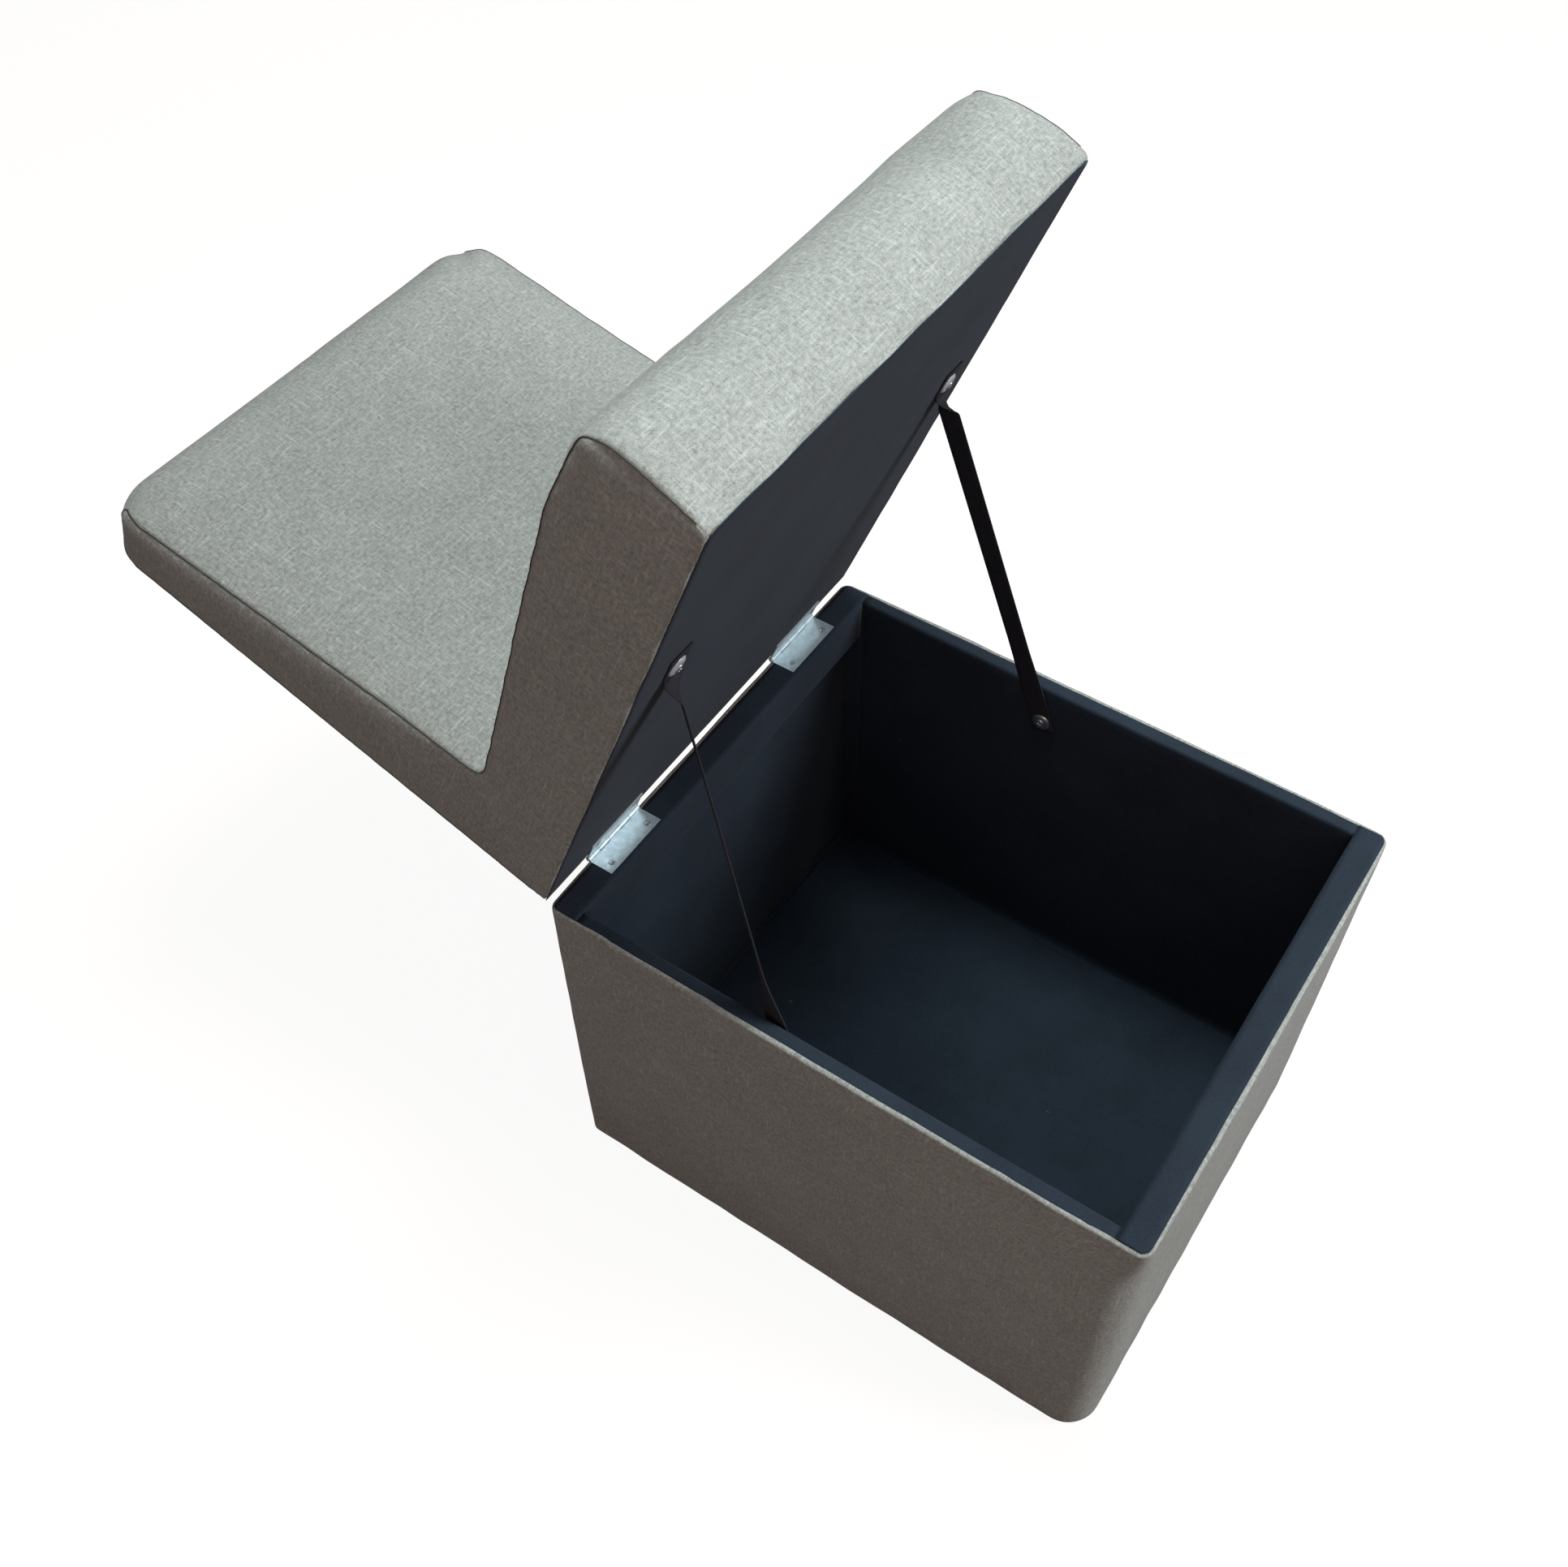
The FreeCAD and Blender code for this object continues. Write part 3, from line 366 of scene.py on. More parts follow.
def makeFoamCells():
    # open cells with paler walls, yellowed in patches
    tree, given = shaderGroup("foamCells", [
        ("Light", "Color", (0.8, 0.72, 0.5, 1)), ("Dark", "Color", (0.55, 0.45, 0.25, 1)),
        ("Cells per metre", "Float", 1400),
    ])
    cells = addNode(tree, "ShaderNodeTexVoronoi", {"Vector": given["Vector"],
                                                   "Scale": given["Cells per metre"]})
    wall = stretch(tree, cells.outputs["Distance"], 0.15, 0.6)
    age = noiseFac(tree, given["Vector"], 12.0, 4.0)
    tone = calc(tree, "ADD", calc(tree, "MULTIPLY", wall, 0.5), calc(tree, "MULTIPLY", age, 0.6),
                clamp=True)
    return finishGroup(tree, blendColour(tree, tone, given["Dark"], given["Light"]), wall,
                       stretch(tree, wall, 0.0, 1.0, 0.98, 0.88))


groups = {
    "heather": makeHeatherWeave(),
    "spun": makeSpunCloth(),
    "web": makeWebWeave(),
    "metal": makeMetalWear(),
    "wood": makeWoodGrain(),
    "foam": makeFoamCells(),
}


def makeFinish(name, group, values, vector="Object", bump=0.3, reach=0.3 * mm, **fixed):
    material = bpy.data.materials.new(name)
    material.use_nodes = True
    tree = material.node_tree
    shader = tree.nodes["Principled BSDF"]
    if vector == "UV":
        source = addNode(tree, "ShaderNodeUVMap", uv_map="clothFlat").outputs[0]
    else:
        source = addNode(tree, "ShaderNodeTexCoord").outputs["Object"]
    surface = addNode(tree, "ShaderNodeGroup", dict(values, Vector=source),
                      node_tree=groups[group]).outputs
    tree.links.new(surface["Color"], shader.inputs["Base Color"])
    tree.links.new(surface["Roughness"], shader.inputs["Roughness"])
    relief = addNode(tree, "ShaderNodeBump", {"Height": surface["Height"], "Strength": bump,
                                              "Distance": reach})
    tree.links.new(relief.outputs[0], shader.inputs["Normal"])
    for label, value in fixed.items():
        shader.inputs[label.replace("_", " ")].default_value = value
    return material


greyCloth = {"Light": (0.60, 0.625, 0.61, 1), "Dark": (0.235, 0.243, 0.235, 1),
             "Threads per metre": 900, "Fleck": 0.45, "Blotch": 0.25, "Slub": 0.3}
blackCloth = {"Light": (0.036, 0.054, 0.082, 1), "Dark": (0.011, 0.017, 0.028, 1)}

finishes = {
    "cover": makeFinish("heatherCoverCloth", "heather", greyCloth, "UV", 0.45, 0.4 * mm,
                        Sheen_Weight=0.25, Sheen_Roughness=0.5, Specular_IOR_Level=0.2),
    "lining": makeFinish("blackLiningCloth", "spun", blackCloth, "UV", 0.35, 0.25 * mm,
                         Sheen_Weight=0.12, Sheen_Roughness=0.4, Specular_IOR_Level=0.25),
    "dust": makeFinish("blackDustCloth", "spun", dict(blackCloth, **{"Dots per metre": 520}), "UV",
                       0.35, 0.25 * mm, Sheen_Weight=0.1, Specular_IOR_Level=0.25),
    "webbing": makeFinish("blackWebbing", "web", {"Light": (0.055, 0.054, 0.066, 1),
                                                  "Dark": (0.018, 0.018, 0.023, 1)},
                          "UV", 0.5, 0.4 * mm, Specular_IOR_Level=0.25),
    # seam thread: dark partly in its own colour and partly as painted shade, standing in for the
    # shadow in the seam's groove
    "threadAndPaintedShade": makeFinish("seamThread", "web", {"Light": (0.09, 0.09, 0.085, 1),
                                               "Dark": (0.03, 0.03, 0.028, 1),
                                               "Ribs per metre": 1500}, "Object", 0.3),
    "hinge": makeFinish("zincHingeSteel", "metal", {"Bright": (0.80, 0.93, 0.98, 1),
                                                    "Dull": (0.60, 0.72, 0.78, 1),
                                                    "Scratches": 0.3},
                        "Object", 0.1, 0.1 * mm, Metallic=0.45),
    "screw": makeFinish("zincScrewSteel", "metal", {"Bright": (0.80, 0.84, 0.86, 1),
                                                    "Dull": (0.42, 0.45, 0.48, 1),
                                                    "Scratches": 0.8},
                        "Object", 0.2, 0.1 * mm, Metallic=0.95),
    # lid washers: a bright colour with little metal sheen, a painted reflection of the bright room;
    # the same cups on the walls use the darker screw steel
    "washer": makeFinish("nickelWasher", "metal", {"Bright": (0.84, 0.86, 0.90, 1),
                                                   "Dull": (0.52, 0.54, 0.60, 1),
                                                   "Scratches": 0.3},
                         "Object", 0.12, 0.1 * mm, Metallic=0.3),
    "plywood": makeFinish("birchPlywood", "wood", {"Light": (0.62, 0.46, 0.29, 1),
                                                   "Dark": (0.40, 0.26, 0.14, 1),
                                                   "Rings per metre": 45}, "Object", 0.2),
    "pine": makeFinish("pineRail", "wood", {"Light": (0.68, 0.48, 0.27, 1),
                                            "Dark": (0.44, 0.26, 0.12, 1),
                                            "Rings per metre": 90}, "Object", 0.25),
    "hardboard": makeFinish("brownHardboard", "wood", {"Light": (0.24, 0.14, 0.08, 1),
                                                       "Dark": (0.13, 0.07, 0.04, 1),
                                                       "Rings per metre": 8}, "Object", 0.15),
    "foam": makeFinish("creamFoam", "foam", {}, "Object", 0.5, 0.5 * mm, Specular_IOR_Level=0.1),
    "wadding": makeFinish("whiteWadding", "foam", {"Light": (0.85, 0.85, 0.82, 1),
                                                   "Dark": (0.62, 0.62, 0.58, 1),
                                                   "Cells per metre": 500},
                          "Object", 0.6, 0.6 * mm, Specular_IOR_Level=0.1),
}
print("finishes ready:", len(finishes))


# mesh helpers

def makePiece(name, points, faces, flats, finish):
    # flats: for each face, its corners on the flat cloth in metres
    mesh = bpy.data.meshes.new(name)
    mesh.from_pydata([tuple(point) for point in points], [], faces)
    layer = mesh.uv_layers.new(name="clothFlat")
    for polygon, corners in zip(mesh.polygons, flats):
        for loop, corner in zip(polygon.loop_indices, corners):
            layer.data[loop].uv = corner
    mesh.materials.append(finishes[finish])
    mesh.shade_smooth()
    return addObject(name, mesh)


def lengthsAlong(points):
    total, found = 0.0, [0.0]
    for first, second in zip(points, points[1:]):
        total += (second - first).length
        found.append(total)
    return found


def gridParts(rows, loop=False, start=0):
    # faces of a grid of points, and where each face lies on the flat cloth
    count = len(rows[0])
    middle = rows[len(rows) // 2]
    across = lengthsAlong(list(middle) + ([middle[0]] if loop else []))
    along = lengthsAlong([row[count // 2] for row in rows])
    faces, flats = [], []
    for i in range(len(rows) - 1):
        for j in range(count if loop else count - 1):
            k = (j + 1) % count
            faces.append((start + i * count + j, start + i * count + k,
                          start + (i + 1) * count + k, start + (i + 1) * count + j))
            flats.append(((across[j], along[i]), (across[j + 1], along[i]),
                          (across[j + 1], along[i + 1]), (across[j], along[i + 1])))
    return faces, flats


def settle(piece):
    # the modifiers' result becomes the piece's own mesh
    graph = bpy.context.evaluated_depsgraph_get()
    mesh = bpy.data.meshes.new_from_object(piece.evaluated_get(graph), depsgraph=graph)
    old = piece.data
    piece.modifiers.clear()
    piece.data = mesh
    mesh.name = piece.name
    bpy.data.meshes.remove(old)
    return piece


def thicken(piece, thick, side=-1.0, levels=0):
    if levels:
        smooth = piece.modifiers.new("smooth", "SUBSURF")
        smooth.levels = smooth.render_levels = levels
    shell = piece.modifiers.new("thickness", "SOLIDIFY")
    shell.thickness = thick
    shell.offset = side
    return settle(piece)


def faceOutward(form):
    bmesh.ops.recalc_face_normals(form, faces=form.faces)
    if form.calc_volume(signed=True) < 0:
        bmesh.ops.reverse_faces(form, faces=form.faces)


def joinPoints(mesh, distance=1e-6, closed=False):
    # joins points that lie together; a closed form also gets its faces turned outward
    form = bmesh.new()
    form.from_mesh(mesh)
    bmesh.ops.remove_doubles(form, verts=form.verts, dist=distance)
    if closed:
        faceOutward(form)
    form.to_mesh(mesh)
    form.free()


def clothSheet(name, grids, finish, thick, side=-1.0, levels=0, loop=False):
    # one sheet of cloth from one or more grids that share their edges
    points, faces, flats = [], [], []
    for rows in grids:
        more, where = gridParts(rows, loop, len(points))
        points += [point for row in rows for point in row]
        faces += more
        flats += where
    piece = makePiece(name, points, faces, flats, finish)
    if len(grids) > 1:
        joinPoints(piece.data)
    return thicken(piece, thick, side, levels)


def ripple(point, scale, seed=0.0):
    return noise.noise(Vector(point) * scale + Vector((seed, seed * 0.7, -seed)))


def smoothStep(value):
    value = min(1.0, max(0.0, value))
    return value * value * (3 - 2 * value)


def spread(low, high, step):
    count = max(1, round(abs(high - low) / step))
    return [low + (high - low) * i / count for i in range(count + 1)]


def roundPair(first, second, limitFirst, limitSecond, radius):
    # takes a square corner of two coordinates to a round one
    over = (abs(first) - (limitFirst - radius)) / radius
    up = (abs(second) - (limitSecond - radius)) / radius
    if over <= 0 or up <= 0:
        return first, second
    shrink = max(over, up) / math.hypot(over, up)
    newFirst = limitFirst - radius + over * radius * shrink
    newSecond = limitSecond - radius + up * radius * shrink
    return math.copysign(newFirst, first), math.copysign(newSecond, second)


def dress(piece, body, slotName, *nodes):
    if nodes:
        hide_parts(*nodes)
    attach(piece, body)
    return piece


# box: padded cover

boxLow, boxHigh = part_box("box_cover")
boxSize = {"halfWidth": boxHigh.x, "halfDepth": boxHigh.y, "top": boxHigh.z, "bottom": boxLow.z}
boxCover = {
    "thick": 1.2 * mm,
    "lowerRadius": 30 * mm,   # front corners, lower down
    "rimRadius": 8.5 * mm,     # front corners where the cloth is pulled over the rim
    "rimSoftness": 70 * mm,   # how far down the tight corner opens out
    "rearRadius": 9 * mm,
    "edgeRadius": 2.4 * mm,
    "rollFront": 1.4 * mm,    # how far the cloth rolls over the rim at the front
    "rollRear": 2.4 * mm,
    "hem": 26 * mm,
    "bow": 2.0 * mm,
    "crown": 1.4 * mm,
    "leastRadius": 0.6 * mm,
}


def frontRadius(z):
    # the front corners tighten towards the rim
    soft = boxCover["rimSoftness"]
    pinch = smoothStep((z - (boxSize["top"] - soft)) / soft)
    return boxCover["lowerRadius"] + (boxCover["rimRadius"] - boxCover["lowerRadius"]) * pinch


def rollAt(y):
    # how far the cover reaches in over the rim, more towards the rear
    back = smoothStep((y + boxSize["halfDepth"]) / (2 * boxSize["halfDepth"]))
    return boxCover["rollFront"] + (boxCover["rollRear"] - boxCover["rollFront"]) * back


def planCorner(centre, radius, startAngle, steps):
    turn = math.pi / 2 / steps
    return [Vector((centre[0] + radius * math.cos(startAngle + turn * i),
                    centre[1] + radius * math.sin(startAngle + turn * i)))
            for i in range(steps + 1)]


def planRing(inset, frontRadius, rearRadius, steps=8):
    # the box's outline seen from above, from the left rear corner round by the front
    x, y = boxSize["halfWidth"], boxSize["halfDepth"]
    least = boxCover["leastRadius"]
    corners = [(-1, 1, rearRadius, 90), (-1, -1, frontRadius, 180), (1, -1, frontRadius, 270),
               (1, 1, rearRadius, 0)]
    counts = [48, 40, 48, 40]
    ring = []
    for index, (signX, signY, radius, angle) in enumerate(corners):
        centre = (signX * (x - radius), signY * (y - radius))
        arc = planCorner(centre, max(radius - inset, least), math.radians(angle), steps)
        if radius - inset < least:
            shift = Vector((signX, signY)) * (radius - inset - least)
            arc = [point + shift for point in arc]
        ring += arc
        following = corners[(index + 1) % 4]
        reach = following[2]
        nextCentre = (following[0] * (x - reach), following[1] * (y - reach))
        arm = max(reach - inset, least)
        turn = math.radians(following[3])
        goal = Vector((nextCentre[0] + arm * math.cos(turn), nextCentre[1] + arm * math.sin(turn)))
        if reach - inset < least:
            goal += Vector(following[:2]) * (reach - inset - least)
        for i in range(1, counts[index]):
            ring.append(arc[-1].lerp(goal, i / counts[index]))
    return ring


def coverProfile():
    # inset from the outer face and height, from the hem up to the tuck behind the rim
    low, top, edge = boxSize["bottom"], boxSize["top"], boxCover["edgeRadius"]
    profile = [(inset, low) for inset in spread(boxCover["hem"], edge, 7 * mm)]
    for i in range(1, 5):
        turn = math.pi / 2 * i / 4
        profile.append((edge * (1 - math.sin(turn)), low + edge * (1 - math.cos(turn))))
    profile += [(0.0, z) for z in spread(low + edge, top - edge, 8.6 * mm)[1:]]
    for i in range(1, 5):
        turn = math.pi / 2 * i / 4
        profile.append((edge * (1 - math.cos(turn)), top - edge * (1 - math.sin(turn))))
    return profile


def coverPoint(plan, inset, z):
    # soft bows of the padded sides and the pull of the cloth near its edges
    x, y, top = boxSize["halfWidth"], boxSize["halfDepth"], boxSize["top"]
    point = Vector((plan.x, plan.y, z))
    if inset > 1 * mm and z < top / 2:
        point.z += 0.25 * mm * ripple(point, 30, 4)
        return point
    alongX = max(0.0, 1 - (plan.x / x) ** 2)
    alongY = max(0.0, 1 - (plan.y / y) ** 2)
    rise = math.sin(math.pi * min(1.0, max(0.0, z / top)))
    out = Vector((math.copysign(1, plan.x) * alongY ** 0.6 if abs(plan.x) > x - 8 * mm else 0,
                  math.copysign(1, plan.y) * alongX ** 0.6 if abs(plan.y) > y - 8 * mm else 0, 0))
    point += out * (boxCover["bow"] * smoothStep(z / top) + boxCover["crown"] * rise)
    outward = Vector((plan.x / x, plan.y / y, 0))
    outward = Vector((outward.x ** 5, outward.y ** 5, 0)).normalized()
    soft = 0.7 * mm * ripple(point, 11, 1) + 0.3 * mm * ripple(point, 38, 2)
    nearRim = math.exp(-(top - z) / (14 * mm))
    nearHem = math.exp(-(z - boxSize["bottom"]) / (16 * mm))
    pull = 0.7 * mm * ripple((point.x, point.y, 0), 46, 3) * (nearRim + nearHem)
    return point + outward * (soft + pull)


def makeBoxCover():
    rows = []
    for inset, z in coverProfile():
        ring = planRing(inset, frontRadius(z), boxCover["rearRadius"])
        rows.append([coverPoint(plan, inset, z) for plan in ring])
    rows += rollOver(rows[-1])
    piece = clothSheet("box_cover_cloth", [rows], "cover", boxCover["thick"], -1.0, 1, True)
    dress(piece, "box", "cover_fabric", "box_cover")


def rollOver(last):
    # the cloth lies on the rim and is tucked down behind the lining's folded edge
    rows = []
    y = boxSize["halfDepth"]
    inner = planRing(boxCover["edgeRadius"], boxCover["rimRadius"], boxCover["rearRadius"])
    for share, drop in ((0.35, -0.1), (0.8, 0.0), (1.0, 0.25), (1.06, 0.8), (1.08, 1.5)):
        row = []
        for point, plan in zip(last, inner):
            roll = rollAt(plan.y) + 0.5 * mm * ripple(point, 30, 6)
            inward = Vector((-(plan.x / boxSize["halfWidth"]) ** 7, -(plan.y / y) ** 7, 0))
            inward.normalize()
            place = Vector(point) + inward * roll * share
            place.z = boxSize["top"] - drop * mm + 0.15 * mm * ripple(point, 50, 7)
            row.append(place)
        rows.append(row)
    return rows


makeBoxCover()
print("box cover made")


# box: the foam round the front corners and the wadding on the sides, made as one wadding sheet all
# round

boxPadding = {"gap": 1.6 * mm, "thick": 1.7 * mm, "top": 353 * mm, "low": 12 * mm}


def makeBoxPadding():
    rows = []
    for z in spread(boxPadding["low"], boxPadding["top"], 20 * mm):
        ring = planRing(boxPadding["gap"], frontRadius(z), boxCover["rearRadius"])
        crown = 0.5 * mm * math.sin(math.pi * z / boxSize["top"])
        rows.append([Vector((plan.x * (1 + crown), plan.y * (1 + crown), z)) for plan in ring])
    piece = clothSheet("box_padding", [rows], "wadding", boxPadding["thick"], -1.0, 0, True)
    dress(piece, "box", "wadding", "front_foam", "left_wadding", "right_wadding", "rear_wadding")


makeBoxPadding()


# box: black lining

lining = {
    "thick": 0.6 * mm,
    "step": 7 * mm,
    "cove": 7 * mm,
    "underRoll": 2.2 * mm,    # how far it runs in under the cover's rolled edge
    "lapLift": 0.7 * mm,      # the front strip lies over the side lining's end
    "lapStart": -172 * mm,
    "cornerPlaces": [200 * mm, 203 * mm, 204.5 * mm, 206 * mm, 207.5 * mm],
}
wallLow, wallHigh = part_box("left_wall")
sideInner = -wallHigh.x                      # inner face of a side wall
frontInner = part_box("front_wall")[1].y       # inner face of the front wall
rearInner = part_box("rear_wall")[0].y
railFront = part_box("front_top_rail")[1].y
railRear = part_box("rear_top_rail")[0].y
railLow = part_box("front_top_rail")[0].z
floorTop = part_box("bottom_panel")[1].z
woodTop = wallHigh.z
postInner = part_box("right_front_post")[0].x


def rimEdge(y):
    # half-width of the lining over the side rims, out to the cover's rolled edge
    return boxSize["halfWidth"] - boxCover["edgeRadius"] - rollAt(y) + lining["underRoll"]


def coveAt(away, height):
    # the lining lifts off into a soft cove where the walls meet the floor
    return max(0.0, 1 - away / lining["cove"]) ** 2 * height


def wallWave(point, seed):
    return 0.55 * mm * ripple(point, 7, seed) + 0.25 * mm * ripple(point, 24, seed + 1)


def makeSideLinings():
    thick = lining["thick"]
    for side, sign in (("left", -1), ("right", 1)):
        rows = []
        for y in spread(railFront + thick, railRear - thick, lining["step"]):
            row = []
            edge = rimEdge(y)
            row.append(Vector((sign * (sideInner - 9 * mm), y, floorTop + 0.9 * mm)))
            row.append(Vector((sign * (sideInner - 3.2 * mm), y, floorTop + 1.8 * mm)))
            for z in spread(floorTop + 5 * mm, woodTop - 2 * mm, 8 * mm):
                wave = wallWave((0, y, z), 11 + sign) + 0.2 * mm
                row.append(Vector((sign * (sideInner - thick - abs(wave) * 0.9), y, z)))
            row.append(Vector((sign * (sideInner - 0.1 * mm), y, woodTop + 0.9 * mm)))
            for share in spread(0, 1, 0.25):
                x = sideInner + 1.5 * mm + (edge - sideInner - 1.5 * mm) * share
                lift = 0.15 * mm * ripple((x, y, 0), 60, 5)
                row.append(Vector((sign * x, y, woodTop + 1.25 * mm + lift)))
            row.append(Vector((sign * (edge + 0.6 * mm), y, woodTop + 0.75 * mm)))
            rows.append(row)
        piece = clothSheet(f"{side}_wall_lining", [rows], "lining", thick, -sign)
        dress(piece, "box", "lining_cloth", f"{side}_lining")


def railTop(outerY, innerY, seed, lap=False):
    # the strip on top of a rail, its outer edge following the cover's rounded corner
    sign = 1 if outerY > innerY else -1
    rows = []
    edge = rimEdge(outerY)
    corner = boxCover["rimRadius"] if sign < 0 else 4 * mm
    for share in spread(0, 1, 1 / 6):
        row = []
        for x in railStations():
            x = max(-edge, min(edge, x))
            over = max(0.0, abs(x) - (edge - corner)) / corner
            outer = outerY - sign * corner * (1 - math.sqrt(max(0.0, 1 - over * over)))
            y = outer + (innerY - outer) * share
            lift = 0.2 * mm * ripple((x, y, 0), 40, seed)
            if lap and x < lining["lapStart"]:
                lift += lining["lapLift"]
            row.append(Vector((x, y, woodTop + 1.2 * mm + lift)))
        rows.append(row)
    return rows


def railStations():
    inner = sideInner - lining["thick"]
    ends = lining["cornerPlaces"]
    return [-x for x in reversed(ends)] + spread(-inner, inner, lining["step"]) + ends


def railDrop(topRow, innerY, seed):
    # down the inner face of a rail and tucked in under it
    sign = 1 if innerY > 0 else -1
    corners = len(lining["cornerPlaces"])
    inner = topRow[corners:-corners]
    rows = [[Vector(point) for point in inner]]
    for z in spread(woodTop - 1.5 * mm, railLow + 1 * mm, 6 * mm):
        waves = [0.1 * mm + abs(wallWave((p.x, 0, z), seed)) * 0.6 for p in inner]
        rows.append([Vector((p.x, innerY - sign * wave, z)) for p, wave in zip(inner, waves)])
    rows.append([Vector((p.x, innerY + sign * 0.8 * mm, railLow - 0.9 * mm)) for p in inner])
    rows.append([Vector((p.x, innerY + sign * 5 * mm, railLow - 1.1 * mm)) for p in inner])
    return rows


def makeRailLinings():
    thick = lining["thick"]
    reach = boxSize["halfDepth"] - boxCover["edgeRadius"] + lining["underRoll"]
    outerFront = boxCover["rollFront"] - reach
    outerRear = reach - boxCover["rollRear"]
    for side, outer, inner, node, lap in (
            ("front", outerFront, railFront + thick, "front_rail_lining", True),
            ("rear", outerRear, railRear - thick, "rear_rail_lining", False)):
        top = railTop(outer, inner, 21, lap)
        drop = railDrop(top[-1], inner, 23)
        facing = 1.0 if side == "front" else -1.0
        piece = clothSheet(f"{side}_rail_cloth", [top, drop], "lining", thick, facing)
        dress(piece, "box", "lining_cloth", node)


def makeLowerLinings():
    thick = lining["thick"]
    post = railFront + thick
    reach = sideInner - thick
    # the front sheet steps out round the two corner posts
    path = [(-reach, post)]
    path += [(x, post) for x in spread(-reach, -postInner, 6 * mm)[1:]]
    path += [(-postInner + 1.2 * mm, post - 1.5 * mm), (-postInner + 1.4 * mm, frontInner + 2 * mm)]
    path += [(x, frontInner + thick)
             for x in spread(-postInner + 4 * mm, postInner - 4 * mm, lining["step"])]
    path += [(-x, y) for x, y in reversed(path) if x < -postInner + 3 * mm]
    rows = []
    for z in spread(floorTop + 0.9 * mm, railLow, 8 * mm):
        low = coveAt(z - floorTop, 4 * mm)
        rows.append([Vector((x, y + low + 0.4 * mm + wallWave((x, 0, z), 31) * 0.7, z))
                     for x, y in path])
    front = clothSheet("front_wall_lining", [rows], "lining", thick, 1.0)
    dress(front, "box", "lining_cloth", "front_lining")
    rows = []
    # the rear sheet runs round into the recess under the rear rail
    ends = [(-reach, railRear - 3 * mm), (-reach, railRear + 4 * mm),
            (-reach + 0.4 * mm, rearInner - 2.5 * mm), (-reach + 2.5 * mm, rearInner - thick)]
    path = ends + [(x, rearInner - thick)
                   for x in spread(-reach + 7 * mm, reach - 7 * mm, lining["step"])]
    path += [(-x, y) for x, y in reversed(ends)]
    for z in spread(floorTop + 0.9 * mm, railLow - 0.6 * mm, 8 * mm):
        low = coveAt(z - floorTop, 4 * mm)
        rows.append([Vector((x, y - low - 0.4 * mm + wallWave((x, 1, z), 33) * 0.7, z))
                     for x, y in path])
    rear = clothSheet("rear_wall_lining", [rows], "lining", thick, -1.0)
    dress(rear, "box", "lining_cloth", "rear_lining")
    rows = []
    for y in spread(frontInner + thick, rearInner - thick, lining["step"]):
        row = []
        for x in spread(-sideInner + 1 * mm, sideInner - 1 * mm, lining["step"]):
            edge = min(sideInner - abs(x), rearInner - y, y - frontInner)
            cove = coveAt(edge, 2.2 * mm)
            wave = 0.5 * mm * ripple((x, y, 0), 9, 41) + 0.2 * mm * ripple((x, y, 0), 30, 42)
            row.append(Vector((x, y, floorTop + 1.1 * mm + cove + wave)))
        rows.append(row)
    floor = clothSheet("floor_cloth", [rows], "lining", thick, -1.0)
    dress(floor, "box", "lining_cloth", "floor_lining")


makeSideLinings()
makeRailLinings()
makeLowerLinings()
print("box lining made")


# cloth under the box and under the lid

underCloth = {"thick": 0.6 * mm, "step": 8 * mm, "lidInset": 1.2 * mm, "lidCorner": 9 * mm,
              "boxCorner": 28 * mm}


def makeBoxUnderside():
    low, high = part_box("bottom_dust_cloth")
    rows = []
    for y in spread(low.y, high.y, underCloth["step"]):
        row = []
        for x in spread(low.x, high.x, underCloth["step"]):
            edge = min(high.x - abs(x), high.y - abs(y))
            pucker = math.exp(-edge / (14 * mm))
            wave = 0.25 * mm * abs(ripple((x, y, 0), 40, 51)) * pucker
            if y < 0:
                x, y = roundPair(x, y, high.x, -low.y, underCloth["boxCorner"])
            row.append(Vector((x, y, low.z + 0.25 * mm + wave)))
        rows.append(row)
    piece = clothSheet("box_underside_cloth", [rows], "dust", underCloth["thick"], 1.0)
    dress(piece, "box", "dust_cloth", "bottom_dust_cloth")


makeBoxUnderside()


# lid: seat and backrest in one padded piece

def lidBox(node):
    inverse = lidToWorld.inverted()
    found = list(zip(*[inverse @ vertex.co for vertex in frame["nodes"][node].data.vertices]))
    return Vector([min(axis) for axis in found]), Vector([max(axis) for axis in found])


lidLow, lidHigh = lidBox("left_side_cover")
lidHalf = lidBox("right_side_cover")[1].x
lidCover = {
    "spacing": 9 * mm,
    "thick": 1.2 * mm,
    "noseRadius": 33 * mm,
    "cornerRadius": 14 * mm,     # front corners seen from above
    "boardRadius": 8 * mm,       # the same corners down at the seat board
    "topReach": 7 * mm,          # how far the padding lifts the cover above the back's frame
    "topCornerRadius": 42 * mm,  # backrest corners seen from the front
    "rearCornerRadius": 7 * mm,
    "shoulderRadius": 13 * mm,   # the backrest's front edges
    "frontHeight": 97 * mm,
    "seatHeight": 95.5 * mm,
    "skew": 3.5 * mm,            # the left end stands a little further forward
    "dipHeight": 86.5 * mm,
    "creaseHeight": 83 * mm,
    "pressure": 4.5,
    "cap": 6 * mm,
    "sideCap": 4 * mm,
    "seamDepth": 0.6 * mm,
    "frontSeamHeight": 77 * mm,
    "threadRadius": 0.45 * mm,
    "boardHold": 14 * mm,        # up to here the cover keeps to the seat board's corners
    "boardBlend": 60 * mm,
    "creasePlace": 104 * mm,     # the backrest's face at the crease, ahead of the hinge
    "backLean": 47 * mm,         # how far that face leans back by its top
    "backCore": 30 * mm,         # the frame behind it, which keeps square edges
    "noseEdge": 15 * mm,
    "hemWidth": 30 * mm,
    "hidden": 5 * mm,            # the dark seam thread, partly painted shade of the groove, is left out below this
}


